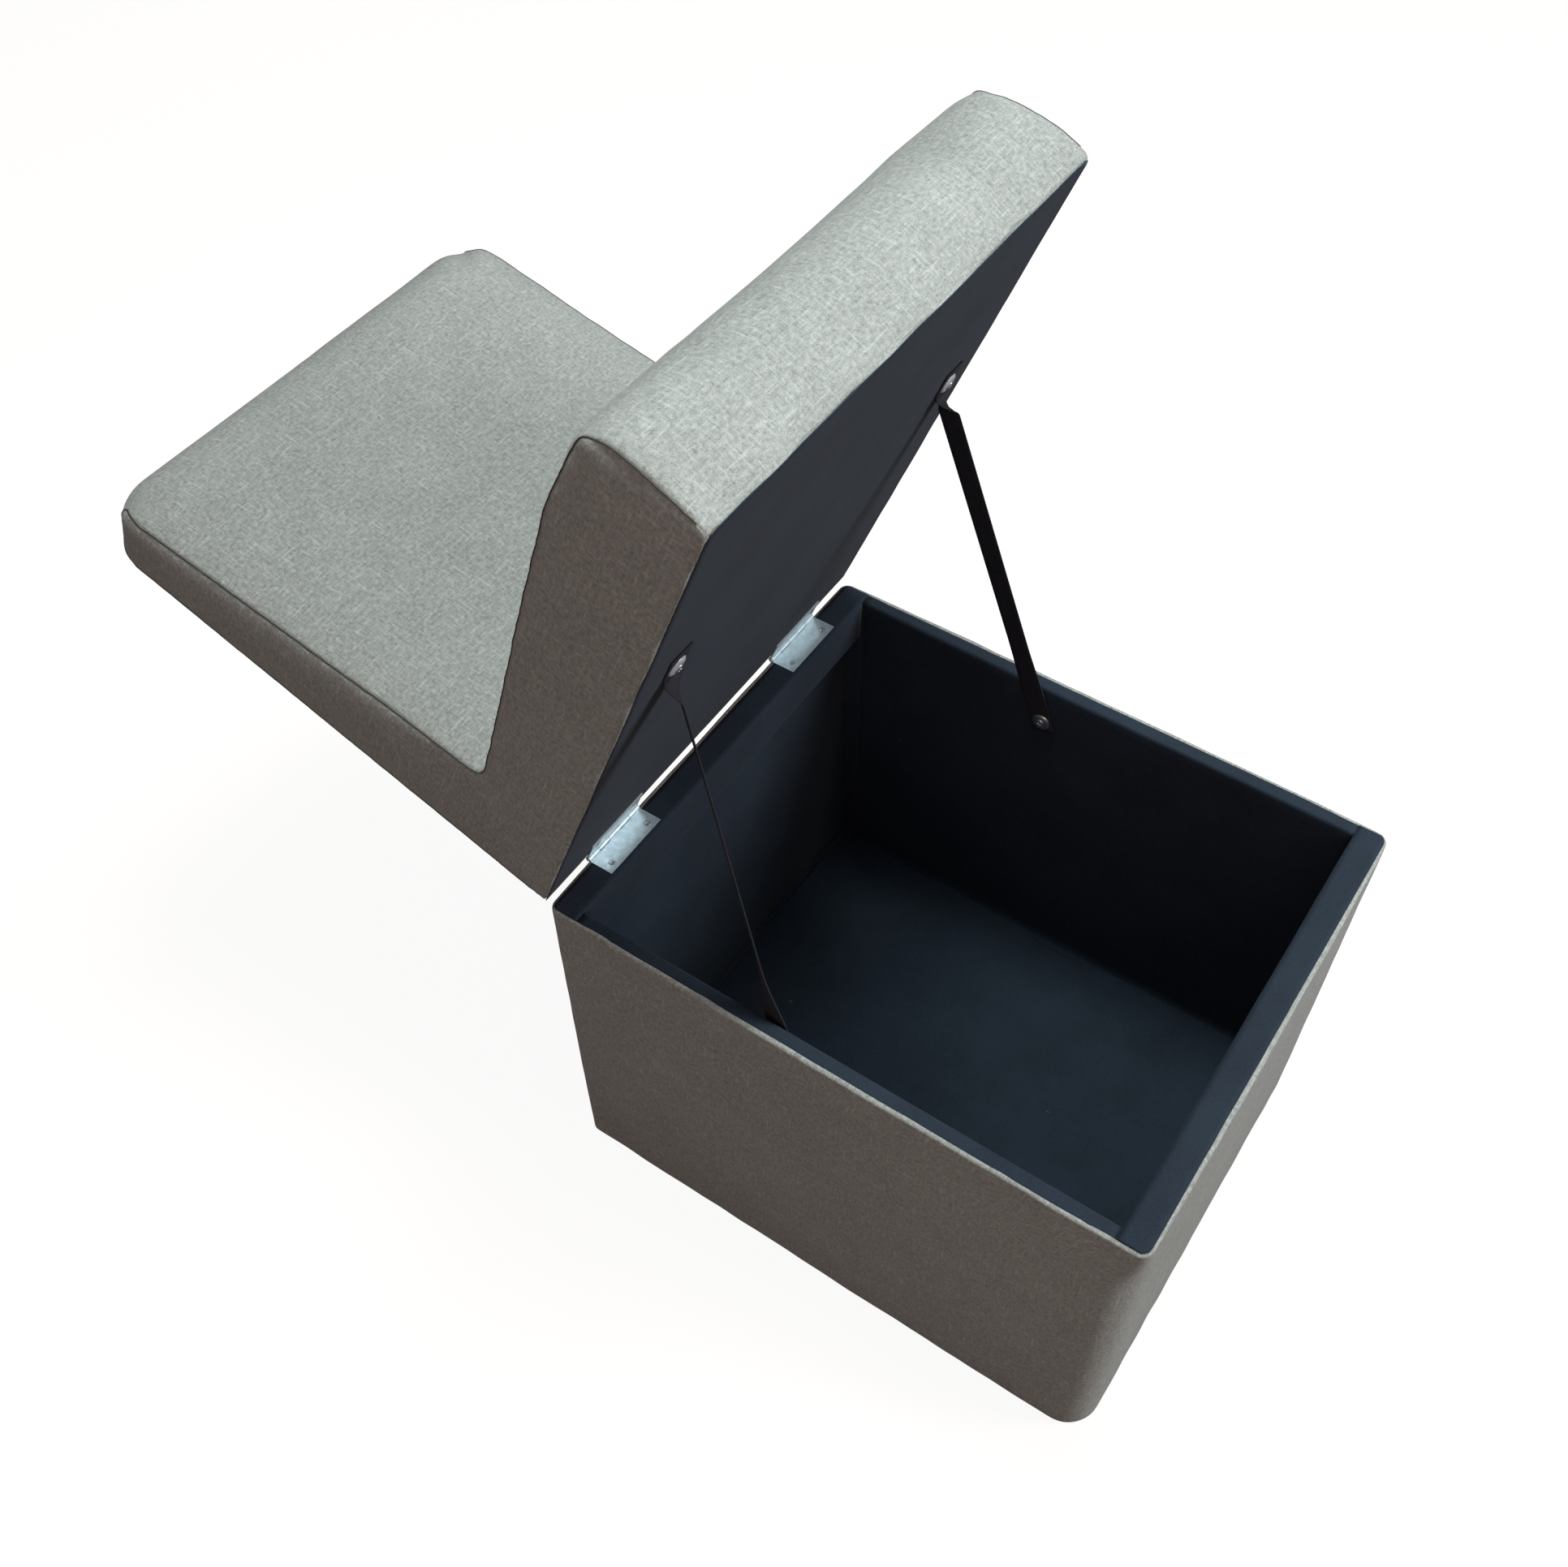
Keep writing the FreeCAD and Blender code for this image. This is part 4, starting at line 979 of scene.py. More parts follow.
def roundedLoop(corners, count):
    # corners: (y, z, radius); the loop comes back as evenly spaced points
    dense = []
    total = len(corners)
    for index, (y, z, radius) in enumerate(corners):
        here = Vector((y, z))
        before = Vector(corners[index - 1][:2])
        after = Vector(corners[(index + 1) % total][:2])
        first = here + (before - here).normalized() * radius * 1.15
        last = here + (after - here).normalized() * radius * 1.15
        for step in range(17):
            t = step / 16
            dense.append(first * (1 - t) ** 2 + here * 2 * t * (1 - t) + last * t * t)
    dense.append(dense[0])
    lengths = lengthsAlong(dense)
    loop, place = [], 0
    for index in range(count):
        goal = lengths[-1] * index / count
        while lengths[place + 1] < goal:
            place += 1
        run = lengths[place + 1] - lengths[place]
        loop.append(dense[place].lerp(dense[place + 1], (goal - lengths[place]) / max(run, 1e-9)))
    return loop, lengths[-1]


def lidCorners():
    front, rear = lidLow.y, lidHigh.y
    low, top = lidLow.z, lidHigh.z + lidCover["topReach"]
    return [
        (rear, low, 2.5 * mm), (front, low, 2.5 * mm),
        (front - 5 * mm, 32 * mm, 15 * mm),
        (front - 5 * mm, lidCover["frontHeight"], lidCover["noseRadius"]),
        (-375 * mm, lidCover["seatHeight"], 80 * mm),
        (-190 * mm, lidCover["dipHeight"], 60 * mm),
        (-lidCover["creasePlace"], lidCover["creaseHeight"], 9 * mm),
        (-59 * mm, top, 26 * mm), (rear, top, 14 * mm),
    ]


def softenLid(point):
    x, y, z = point
    above = smoothStep((z - lidLow.z - lidCover["boardHold"]) / lidCover["boardBlend"])
    radius = lidCover["boardRadius"] + (lidCover["cornerRadius"] - lidCover["boardRadius"]) * above
    x, y = roundPair(x, y, lidHalf, -lidLow.y, radius)
    core = lidCover["backCore"]
    share = smoothStep((z - 100 * mm) / (80 * mm))
    if share > 0 and y < -core:
        slope = (z - lidCover["creaseHeight"]) / (lidHigh.z - lidCover["creaseHeight"])
        reach = lidCover["creasePlace"] - lidCover["backLean"] * slope - core
        x, ahead = roundPair(x, -y - core, lidHalf, reach,
                             1 * mm + lidCover["shoulderRadius"] * share)
        y = -ahead - core
    top = lidHigh.z + lidCover["topReach"]
    x, z = roundPair(x, z, lidHalf, top, lidCover["topCornerRadius"])
    nose = smoothStep((-y - 0.43) / (60 * mm))
    if nose > 0 and z < 120 * mm:
        radius = 1 * mm + lidCover["noseEdge"] * nose
        x, z = roundPair(x, z, lidHalf, lidCover["frontHeight"], radius)
    half = (lidHigh.y + lidLow.y) / 2
    x, shifted = roundPair(x, max(0.0, y - half), lidHalf, lidHigh.y - half,
                           lidCover["rearCornerRadius"])
    if y > half:
        y = shifted + half
    forward = smoothStep((-y - 0.3) / 0.2) * above
    y += forward * (0.2 * lidCover["skew"] + lidCover["skew"] * x / lidHalf)
    return Vector((x, y, z))


def insideLoop(point, loop):
    inside = False
    for first, second in zip(loop, loop[1:] + loop[:1]):
        if (first.y > point.y) != (second.y > point.y):
            cross = first.x + (point.y - first.y) * (second.x - first.x) / (second.y - first.y)
            if point.x < cross:
                inside = not inside
    return inside


def sidePanel(loop, spacing):
    # the flat L-shaped panel as an even net of triangles
    net = [Vector(point) for point in loop]
    tree = kdtree.KDTree(len(loop))
    for index, point in enumerate(loop):
        tree.insert((point.x, point.y, 0), index)
    tree.balance()
    rows = int((lidHigh.z - lidLow.z) / (spacing * 0.866)) + 1
    columns = int((lidHigh.y - lidLow.y) / spacing) + 2
    for row in range(rows):
        for column in range(columns):
            point = Vector((lidLow.y + spacing * (column + 0.5 * (row % 2)),
                            lidLow.z + spacing * 0.866 * (row + 0.5)))
            if tree.find((point.x, point.y, 0))[2] > spacing * 0.62 and insideLoop(point, loop):
                net.append(point)
    made = delaunay_2d_cdt(net, [], [list(range(len(loop)))], 1, 1e-8)
    return made[0], made[2]


def paddedBody(loop, around, across, spacing):
    # a band round the outline and a flat panel at each end: points, faces, flats, panels
    points = [(x, place.x, place.y) for place in loop for x in across]
    count = len(across)
    faces, flats, panels = [], [], []
    for i in range(len(loop)):
        k = (i + 1) % len(loop)
        near, far = around * i / len(loop), around * (i + 1) / len(loop)
        for j in range(count - 1):
            faces.append((i * count + j, i * count + j + 1, k * count + j + 1, k * count + j))
            flats.append(((across[j], near), (across[j + 1], near), (across[j + 1], far),
                          (across[j], far)))
            panels.append(0)
    net, triangles = sidePanel(loop, spacing)
    for panel, x in ((1, across[0]), (2, across[-1])):
        start = len(points)
        points += [(x, place.x, place.y) for place in net]
        for triangle in triangles:
            faces.append(tuple(start + corner for corner in triangle))
            flats.append(tuple((net[corner].x, net[corner].y) for corner in triangle))
            panels.append(panel)
    return points, faces, flats, panels


def makeLidForm():
    spacing = lidCover["spacing"]
    loop, around = roundedLoop(lidCorners(), 204)
    across = spread(-lidHalf, lidHalf, spacing)
    points, faces, flats, panels = paddedBody(loop, around, across, spacing)
    points = [softenLid(point) for point in points]
    piece = makePiece("lid_form", points, faces, flats, "cover")
    for _ in range(2):
        piece.data.materials.append(finishes["cover"])
    for polygon, panel in zip(piece.data.polygons, panels):
        polygon.material_index = panel
    form = bmesh.new()
    form.from_mesh(piece.data)
    bmesh.ops.remove_doubles(form, verts=form.verts, dist=1e-5)
    faceOutward(form)
    crease = form.edges.layers.float.new("crease_edge")
    for edge in form.edges:
        if len({face.material_index for face in edge.link_faces}) > 1:
            edge[crease] = 0.8
    form.to_mesh(piece.data)
    form.free()
    return piece


def seamPoints(mesh):
    touching = {}
    for polygon in mesh.polygons:
        for vertex in polygon.vertices:
            touching.setdefault(vertex, set()).add(polygon.material_index)
    return [vertex for vertex, panels in touching.items() if len(panels) > 1]


puff = {
    "frames": 20,
    "quality": 6,
    "mass": 0.3,
    "stiffness": 25,
    "bending": 2,
    "seamPin": 0.55,             # how firmly the seams, the boards and the back hold the cloth
    "boardPin": 0.9,
    "rearPin": 0.8,
    "rearCap": 1.5 * mm,
    "cornerCalm": 0.8,           # the swelling dies away at the backrest's top corners
    "cornerReach": 65 * mm,
    "cornerFade": 45 * mm,
}


def puffLid(piece):
    # the foam's pressure swells the cover between its seams and the boards that hold it
    mesh = piece.data
    start = [vertex.co.copy() for vertex in mesh.vertices]
    seams = set(seamPoints(mesh))
    pins = piece.vertex_groups.new(name="pins")
    for vertex in mesh.vertices:
        y, z = vertex.co.y, vertex.co.z
        weight = 0.0
        if vertex.index in seams:
            weight = puff["seamPin"]
        if z < lidLow.z + 2 * mm:
            weight = 1.0
        elif z < lidLow.z + 18 * mm:
            weight = puff["boardPin"]
        elif y > lidHigh.y - 2 * mm and z < lidHigh.z - 30 * mm:
            weight = max(weight, puff["rearPin"])
        if weight:
            pins.add([vertex.index], weight, "REPLACE")
    modifier = piece.modifiers.new("puff", "CLOTH")
    cloth = modifier.settings
    cloth.quality = puff["quality"]
    cloth.mass = puff["mass"]
    cloth.tension_stiffness = cloth.compression_stiffness = puff["stiffness"]
    cloth.bending_stiffness = puff["bending"]
    cloth.vertex_group_mass = "pins"
    cloth.use_pressure = True
    cloth.uniform_pressure_force = lidCover["pressure"]
    cloth.effector_weights.gravity = 0
    modifier.collision_settings.use_collision = False
    modifier.point_cache.frame_start = 1
    modifier.point_cache.frame_end = puff["frames"]
    for number in range(1, puff["frames"] + 1):
        scene.frame_set(number)
    graph = bpy.context.evaluated_depsgraph_get()
    swollen = [vertex.co.copy() for vertex in piece.evaluated_get(graph).data.vertices]
    piece.modifiers.remove(modifier)
    scene.frame_set(1)
    most = 0.0
    for vertex, rest, moved in zip(mesh.vertices, start, swollen):
        shift = moved - rest
        most = max(most, shift.length)
        cap = lidCover["sideCap"] if abs(rest.x) > lidHalf - 1 * mm else lidCover["cap"]
        if rest.y > lidHigh.y - 1 * mm:
            cap = puff["rearCap"]
        corner = smoothStep((abs(rest.x) - lidHalf + puff["cornerReach"]) / puff["cornerFade"])
        corner *= smoothStep((rest.z - lidHigh.z + puff["cornerReach"]) / puff["cornerFade"])
        cap *= 1 - puff["cornerCalm"] * corner
        if shift.length > 1e-9:
            shift *= cap * math.tanh(shift.length / cap) / shift.length
        vertex.co = rest + shift
    print("lid puffed, largest free move", round(most / mm, 1), "mm")


def detailLid(piece):
    smooth = piece.modifiers.new("smooth", "SUBSURF")
    smooth.levels = smooth.render_levels = 1
    settle(piece)
    mesh = piece.data
    seams = seamPoints(mesh)
    tree = kdtree.KDTree(len(seams))
    for index in seams:
        tree.insert(mesh.vertices[index].co, index)
    tree.balance()
    normals = [vertex.normal.copy() for vertex in mesh.vertices]
    places = [vertex.co.copy() for vertex in mesh.vertices]
    frontSeam = lidCover["frontSeamHeight"]
    for vertex, place, normal in zip(mesh.vertices, places, normals):
        if place.z < lidLow.z + 1.5 * mm:
            continue
        near, _, away = tree.find(place)
        sewn = smoothStep((near.z - lidLow.z - 4 * mm) / (8 * mm))
        move = -lidCover["seamDepth"] * math.exp(-(away / (3.4 * mm)) ** 2) * sewn
        move += 0.6 * mm * ripple(near, 85, 61) * math.exp(-away / (13 * mm)) * sewn
        move += 0.35 * mm * ripple(near, 32, 62) * math.exp(-away / (34 * mm))
        low = math.exp(-(place.z - lidLow.z) / (17 * mm))
        move += 2.4 * mm * ripple((place.x, place.y, 0), 34, 63) * low
        move += 3.2 * mm * ripple((place.x, place.y, 0), 19, 68) * low
        move += 0.6 * mm * ripple(place, 7, 64) + 0.2 * mm * ripple(place, 26, 65)
        if place.y < lidLow.y + 30 * mm:
            gap = abs(place.z - frontSeam)
            move -= 0.5 * mm * math.exp(-(gap / (3 * mm)) ** 2)
            edge = math.exp(-(lidHalf - abs(place.x)) / (60 * mm))
            move += 0.6 * mm * ripple((place.x, 0, 0), 90, 66) * math.exp(-gap / (12 * mm)) * edge
        crease = math.hypot(place.y + lidCover["creasePlace"],
                            place.z - lidCover["creaseHeight"])
        move += 0.6 * mm * ripple((place.x, 0, 0), 38, 67) * math.exp(-crease / (22 * mm))
        vertex.co = place + normal * move
    for board in ("seat_base_panel", "left_back_stile", "right_back_stile", "back_rear_hardboard"):
        clearBoard(mesh, *lidBox(board))


def clearBoard(mesh, low, high):
    # keeps the cloth a little outside a board it is pulled over
    margin = Vector((1.5, 1.5, 1.2)) * mm
    low, high = low - margin, high + margin
    for vertex in mesh.vertices:
        place = vertex.co
        if all(low[i] < place[i] < high[i] for i in range(3)):
            ways = [(place[i] - low[i], i, low[i]) for i in range(3)]
            ways += [(high[i] - place[i], i, high[i]) for i in range(3)]
            sideways = min(way for way in ways if way[1] < 2)
            _, axis, value = sideways if sideways[0] < 9 * mm else min(ways)
            place[axis] = value


def splitPanel(piece, panel, name):
    form = bmesh.new()
    form.from_mesh(piece.data)
    drop = [face for face in form.faces if face.material_index != panel]
    if panel == 0:
        # the cloth ends in a hem on the underside of the board
        hem = lidCover["hemWidth"]
        for face in form.faces:
            spot = face.calc_center_median()
            flat = face.material_index == 0 and spot.z < lidLow.z + 1.5 * mm
            inside = abs(spot.x) < lidHalf - hem and lidLow.y + hem < spot.y < lidHigh.y - hem
            if flat and inside:
                drop.append(face)
    bmesh.ops.delete(form, geom=drop, context="FACES")
    for face in form.faces:
        face.material_index = 0
    mesh = bpy.data.meshes.new(name)
    form.to_mesh(mesh)
    form.free()
    mesh.materials.append(finishes["cover"])
    mesh.shade_smooth()
    mesh.transform(lidToWorld)
    return thicken(addObject(name, mesh), lidCover["thick"])


def orderedSeam(piece, panel):
    # the seam's points in order round the outline, for the dark thread that is partly painted shade
    # of the groove
    mesh = piece.data
    edges = {}
    owner = {}
    for polygon in mesh.polygons:
        for key in polygon.edge_keys:
            owner.setdefault(key, set()).add(polygon.material_index)
    for (first, second), panels in owner.items():
        if panels == {0, panel}:
            edges.setdefault(first, []).append(second)
            edges.setdefault(second, []).append(first)
    start = min(edges)
    path, before, here = [start], None, start
    while True:
        following = [spot for spot in edges[here] if spot != before]
        if not following or following[0] == start:
            break
        before, here = here, following[0]
        path.append(here)
    line = [mesh.vertices[index].co + mesh.vertices[index].normal * 0.05 * mm for index in path]
    least = lidLow.z + lidCover["hidden"]
    hidden = [point.z < least for point in line]
    begin = next(i for i in range(len(line)) if hidden[i - 1] and not hidden[i])
    line = line[begin:] + line[:begin]
    return [point for point in line if point.z >= least]


def makeTube(name, points, radius, finish):
    curve = bpy.data.curves.new(name, "CURVE")
    curve.dimensions = "3D"
    curve.bevel_depth = radius
    curve.bevel_resolution = 1
    spline = curve.splines.new("POLY")
    spline.points.add(len(points) - 1)
    for target, point in zip(spline.points, points):
        target.co = (*point, 1)
    curve.use_fill_caps = True
    holder = addObject(name + "Line", curve)
    graph = bpy.context.evaluated_depsgraph_get()
    mesh = bpy.data.meshes.new_from_object(holder.evaluated_get(graph), depsgraph=graph)
    bpy.data.objects.remove(holder)
    mesh.materials.clear()
    mesh.materials.append(finishes[finish])
    mesh.shade_smooth()
    return addObject(name, mesh)


def makeLidCovers():
    form = makeLidForm()
    puffLid(form)
    detailLid(form)
    seams = {side: [lidToWorld @ point for point in orderedSeam(form, panel)]
             for side, panel in (("left", 1), ("right", 2))}
    wrap = splitPanel(form, 0, "lid_wrap_cloth")
    dress(wrap, "lid", "cover_fabric", "lid_wrap_cover")
    for side, panel in (("left", 1), ("right", 2)):
        cloth = splitPanel(form, panel, f"{side}_side_cloth")
        dress(cloth, "lid", "cover_fabric", f"{side}_side_cover")
        # a dark thread along each side seam, partly painted shade of the seam's groove
        threadAndPaintedShade = makeTube(f"{side}_side_seam", seams[side], lidCover["threadRadius"], "threadAndPaintedShade")
        dress(threadAndPaintedShade, "lid", "cover_fabric")
    shape = bmesh.new()
    shape.from_mesh(form.data)
    skin = BVHTree.FromBMesh(shape)
    shape.free()
    bpy.data.objects.remove(form)
    return skin


lidSkin = makeLidCovers()
print("lid cover made")


# lid: foam of the seat and of the backrest

lidPads = {"spacing": 14 * mm, "gap": 2.6 * mm, "crown": 2.5 * mm}


def makePad(name, corners, node):
    gap = lidPads["gap"]
    loop, around = roundedLoop(corners, 90)
    half = lidHalf - gap - lidCover["thick"]
    across = spread(-half, half, lidPads["spacing"])
    points, faces, flats, _ = paddedBody(loop, around, across, lidPads["spacing"])
    piece = makePiece(name, points, faces, flats, "foam")
    form = bmesh.new()
    form.from_mesh(piece.data)
    bmesh.ops.remove_doubles(form, verts=form.verts, dist=1e-5)
    faceOutward(form)
    form.normal_update()
    top = max(vertex.co.z for vertex in form.verts)
    for vertex in form.verts:
        inner = max(0.0, 1 - (vertex.co.x / half) ** 2)
        if vertex.normal.z > 0.5 and vertex.co.z > top - 30 * mm:
            vertex.co.z += lidPads["crown"] * inner
    form.to_mesh(piece.data)
    form.free()
    tuckInside(piece.data, 3.2 * mm)
    piece.data.transform(lidToWorld)
    return dress(piece, "lid", "foam", node)


def tuckInside(mesh, depth):
    # keeps every point at least this deep under the cover
    for vertex in mesh.vertices:
        nearest, normal, _, _ = lidSkin.find_nearest(vertex.co)
        over = (vertex.co - nearest).dot(normal) + depth
        if over > 0:
            vertex.co -= normal * over


def makeLidPads():
    gap = lidPads["gap"]
    boardTop = lidBox("seat_base_panel")[1].z
    boardFace = lidBox("back_front_hardboard")[0].y
    makePad("seat_pad", [
        (-107 * mm, boardTop, 3 * mm), (lidLow.y + gap, boardTop, 4 * mm),
        (lidLow.y + gap, lidCover["frontHeight"] - gap, 32 * mm),
        (-375 * mm, lidCover["seatHeight"] - gap, 60 * mm),
        (-190 * mm, lidCover["dipHeight"] - gap, 50 * mm),
        (-107 * mm, lidCover["creaseHeight"] - gap, 4 * mm),
    ], "seat_foam")
    backTop = lidBox("back_foam")[1].z
    stileTop = lidBox("left_back_stile")[1].z
    makePad("back_pad", [
        (boardFace, boardTop, 3 * mm), (-101 * mm, boardTop, 3 * mm),
        (-101 * mm, 84 * mm, 20 * mm), (-54 * mm, backTop - gap, 19 * mm),
        (lidHigh.y - gap - 1 * mm, backTop - gap, 20 * mm),
        (lidHigh.y - gap - 1 * mm, stileTop + 0.4 * mm, 3 * mm),
        (boardFace, stileTop + 0.4 * mm, 3 * mm),
    ], "back_foam")


makeLidPads()


def makeLidUnderside():
    front, rear = lidLow.y + underCloth["lidInset"], lidHigh.y - 4 * mm
    half = lidHalf - underCloth["lidInset"]
    low = lidBox("lid_dust_cloth")[0].z
    rows = []
    for y in spread(front, rear, underCloth["step"]):
        row = []
        for x in spread(-half, half, underCloth["step"]):
            edge = min(half - abs(x), y - front, rear - y)
            a, b = roundPair(x, y, half, -front, underCloth["lidCorner"])
            wobble = 1 + 0.006 * ripple((x * 1.2, y, 0), 24, 71) * (1 if edge < 9 * mm else 0)
            pucker = math.exp(-edge / (18 * mm))
            wave = 0.35 * mm * ripple((a, b, 0), 36, 72) * pucker
            wave += 0.2 * mm * ripple((a, b, 0), 8, 73)
            row.append(lidToWorld @ Vector((a * wobble, b * wobble if b < -0.3 else b,
                                            low + 0.1 * mm + abs(wave))))
        rows.append(row)
    piece = clothSheet("lid_underside_cloth", [rows], "dust", underCloth["thick"], 1.0)
    dress(piece, "lid", "dust_cloth", "lid_dust_cloth")


makeLidUnderside()
print("lid pads and underside made")


# straps: one ribbon a side, twisted from the wall to the lid and opened at its middle

strap = {
    "width": 22 * mm,
    "thick": 1.2 * mm,
    "tail": 11 * mm,
    "step": 2.5 * mm,
    "bevel": 0.6 * mm,
    "turned": {"left": 40, "right": 12},   # degrees of twist along most of its length
    "twistFrom": 0.03,
    "twistRun": 0.25,
    "flattenFrom": 0.945,                  # and it turns flat on the lid from here
    "flattenRun": 0.052,
}
joints = {joint["name"]: joint for joint in frame["joints"]}


def ribbon(name, stations):
    # stations: (centre, across, facing); a rounded band through them
    half, thick = strap["width"] / 2, strap["thick"] / 2
    flat = half - strap["bevel"]
    section = [(-half, 0), (-flat, thick), (-half / 2, thick), (0, thick), (half / 2, thick),
               (flat, thick), (half, 0), (flat, -thick), (half / 2, -thick), (0, -thick),
               (-half / 2, -thick), (-flat, -thick)]
    rows = []
    for centre, across, facing in stations:
        rows.append([centre + across * u + facing * v for u, v in section])
    faces, flats = gridParts(rows, True)
    points = [point for row in rows for point in row]
    count = len(section)
    for end in (0, len(rows) - 1):
        ring = list(range(end * count, end * count + count))
        faces.append(tuple(reversed(ring)) if end == 0 else tuple(ring))
        flats.append(tuple((u, end * strap["step"]) for u, _ in section))
    piece = makePiece(name, points, faces, flats, "webbing")
    joinPoints(piece.data, closed=True)
    return piece


def makeStraps():
    for side, sign in (("left", -1), ("right", 1)):
        turned = strap["turned"][side]
        low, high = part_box(f"{side}_strap_lower")
        fold = joints[f"{side}_strap_lower_fold"]["pos_m"]
        wall = Vector((sign * (abs(low.x) + abs(high.x)) / 2, fold[1], fold[2]))
        upperLow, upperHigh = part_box(f"{side}_strap_upper")
        fold = joints[f"{side}_strap_upper_fold"]["pos_m"]
        lidEnd = Vector(((upperLow.x + upperHigh.x) / 2, fold[1], fold[2]))
        run = lidEnd - wall
        ahead = run.normalized()
        flatWall = Vector((0, run.z, -run.y)).normalized()
        halves = {"lower": [], "upper": []}
        for s in spread(-strap["tail"], run.length - 1 * mm, strap["step"]):
            t = s / run.length
            # flat on the wall, turned a little on the way and turned flat again at the lid
            early = smoothStep((t - strap["twistFrom"]) / strap["twistRun"])
            late = smoothStep((t - strap["flattenFrom"]) / strap["flattenRun"])
            twist = math.radians(turned * early + (90 - turned) * late)
            across = flatWall * math.cos(twist) + Vector((1, 0, 0)) * math.sin(twist)
            centre = wall + run * t
            if s < 0:
                centre = wall + Vector((0, run.y, run.z)).normalized() * s
            station = (centre, across, ahead.cross(across).normalized())
            halves["lower" if t <= 0.5 else "upper"].append(station)
        halves["upper"].insert(0, halves["lower"][-1])
        for half, stations in halves.items():
            piece = ribbon(f"{side}_strap_{half}_web", stations)
            dress(piece, f"{side}_strap_{half}", "webbing", f"{side}_strap_{half}")


def makeStrapTabs():
    low, high = lidBox("strap_lid_tabs")
    pieces = []
    for sign in (-1, 1):
        centreX = sign * (high.x - strap["width"] / 2)
        middle = (low.z + high.z) / 2
        stations = []
        for y in spread(low.y, high.y + 1 * mm, strap["step"]):
            drop = max(0.0, (y - high.y + 6 * mm) / (7 * mm)) ** 2 * 0.8 * mm
            stations.append((lidToWorld @ Vector((centreX, y, middle - drop)),
                             Vector((1, 0, 0)), lidToWorld.to_3x3() @ Vector((0, 0, 1))))
        pieces.append(ribbon(f"tab{sign}", stations))
    bpy.context.view_layer.update()
    joined = joinPieces("strap_lid_ends", pieces)
    dress(joined, "lid", "webbing", "strap_lid_tabs")


def joinPieces(name, pieces):
    form = bmesh.new()
    for piece in pieces:
        form.from_mesh(piece.data)
    mesh = pieces[0].data.copy()
    form.to_mesh(mesh)
    form.free()
    mesh.name = name
    for piece in pieces:
        bpy.data.objects.remove(piece)
    return addObject(name, mesh)


makeStraps()
makeStrapTabs()
print("straps made")


# screws and washers, set out by geometry nodes

def turnedForm(name, rings, hollow):
    # rings of points round the z axis, skinned; hollow: the last joins the first
    sectors = len(rings[0])
    faces = []
    for ring in range(len(rings) if hollow else len(rings) - 1):
        after = (ring + 1) % len(rings)
        for sector in range(sectors):
            following = (sector + 1) % sectors
            faces.append((ring * sectors + sector, after * sectors + sector,
                          after * sectors + following, ring * sectors + following))
    if not hollow:
        last = (len(rings) - 1) * sectors
        faces.append(tuple(reversed(range(last, last + sectors))))
    mesh = bpy.data.meshes.new(name)
    mesh.from_pydata([point for ring in rings for point in ring], [], faces)
    joinPoints(mesh, closed=True)
    mesh.shade_smooth()
    return addObject(name, mesh)


def makeHead(name, radius, height, recess, rings=12, sectors=40):
    # a round head with a cross recess and a short shank below it
    turns = [math.tau * sector / sectors for sector in range(sectors)]
    crossReach, crossWide, shank = radius * 0.62, radius * 0.17, radius * 0.55
    circles = []
    for ring in range(rings + 1):
        r = radius * ring / rings
        circle = []
        for turn in turns:
            x, y = r * math.cos(turn), r * math.sin(turn)
            z = height * math.sqrt(max(0.0, 1 - (r / radius) ** 2 * 0.98))
            if min(abs(x), abs(y)) < crossWide and r < crossReach:
                z -= recess * (1 - (r / crossReach) ** 2)
            circle.append((x, y, z))
        circles.append(circle)
    circles.append([(shank * math.cos(turn), shank * math.sin(turn), -height) for turn in turns])
    return turnedForm(name, circles, False)


def makeCup(name, radius, height, hole, sectors=48):
    # a cup washer: rolled rim, domed wall and a hole
    profile = [(hole, 0.2), (hole, 0.62), (hole + 0.3 * mm, 0.72), (radius * 0.45, 0.98),
               (radius * 0.62, 1.0), (radius * 0.8, 0.78), (radius * 0.92, 0.42),
               (radius * 0.99, 0.16), (radius, 0.06), (radius * 0.98, 0.0), (radius * 0.8, 0.0)]
    turns = [math.tau * sector / sectors for sector in range(sectors)]
    circles = [[(r * math.cos(turn), r * math.sin(turn), height * share) for turn in turns]
               for r, share in profile]
    return turnedForm(name, circles, True)


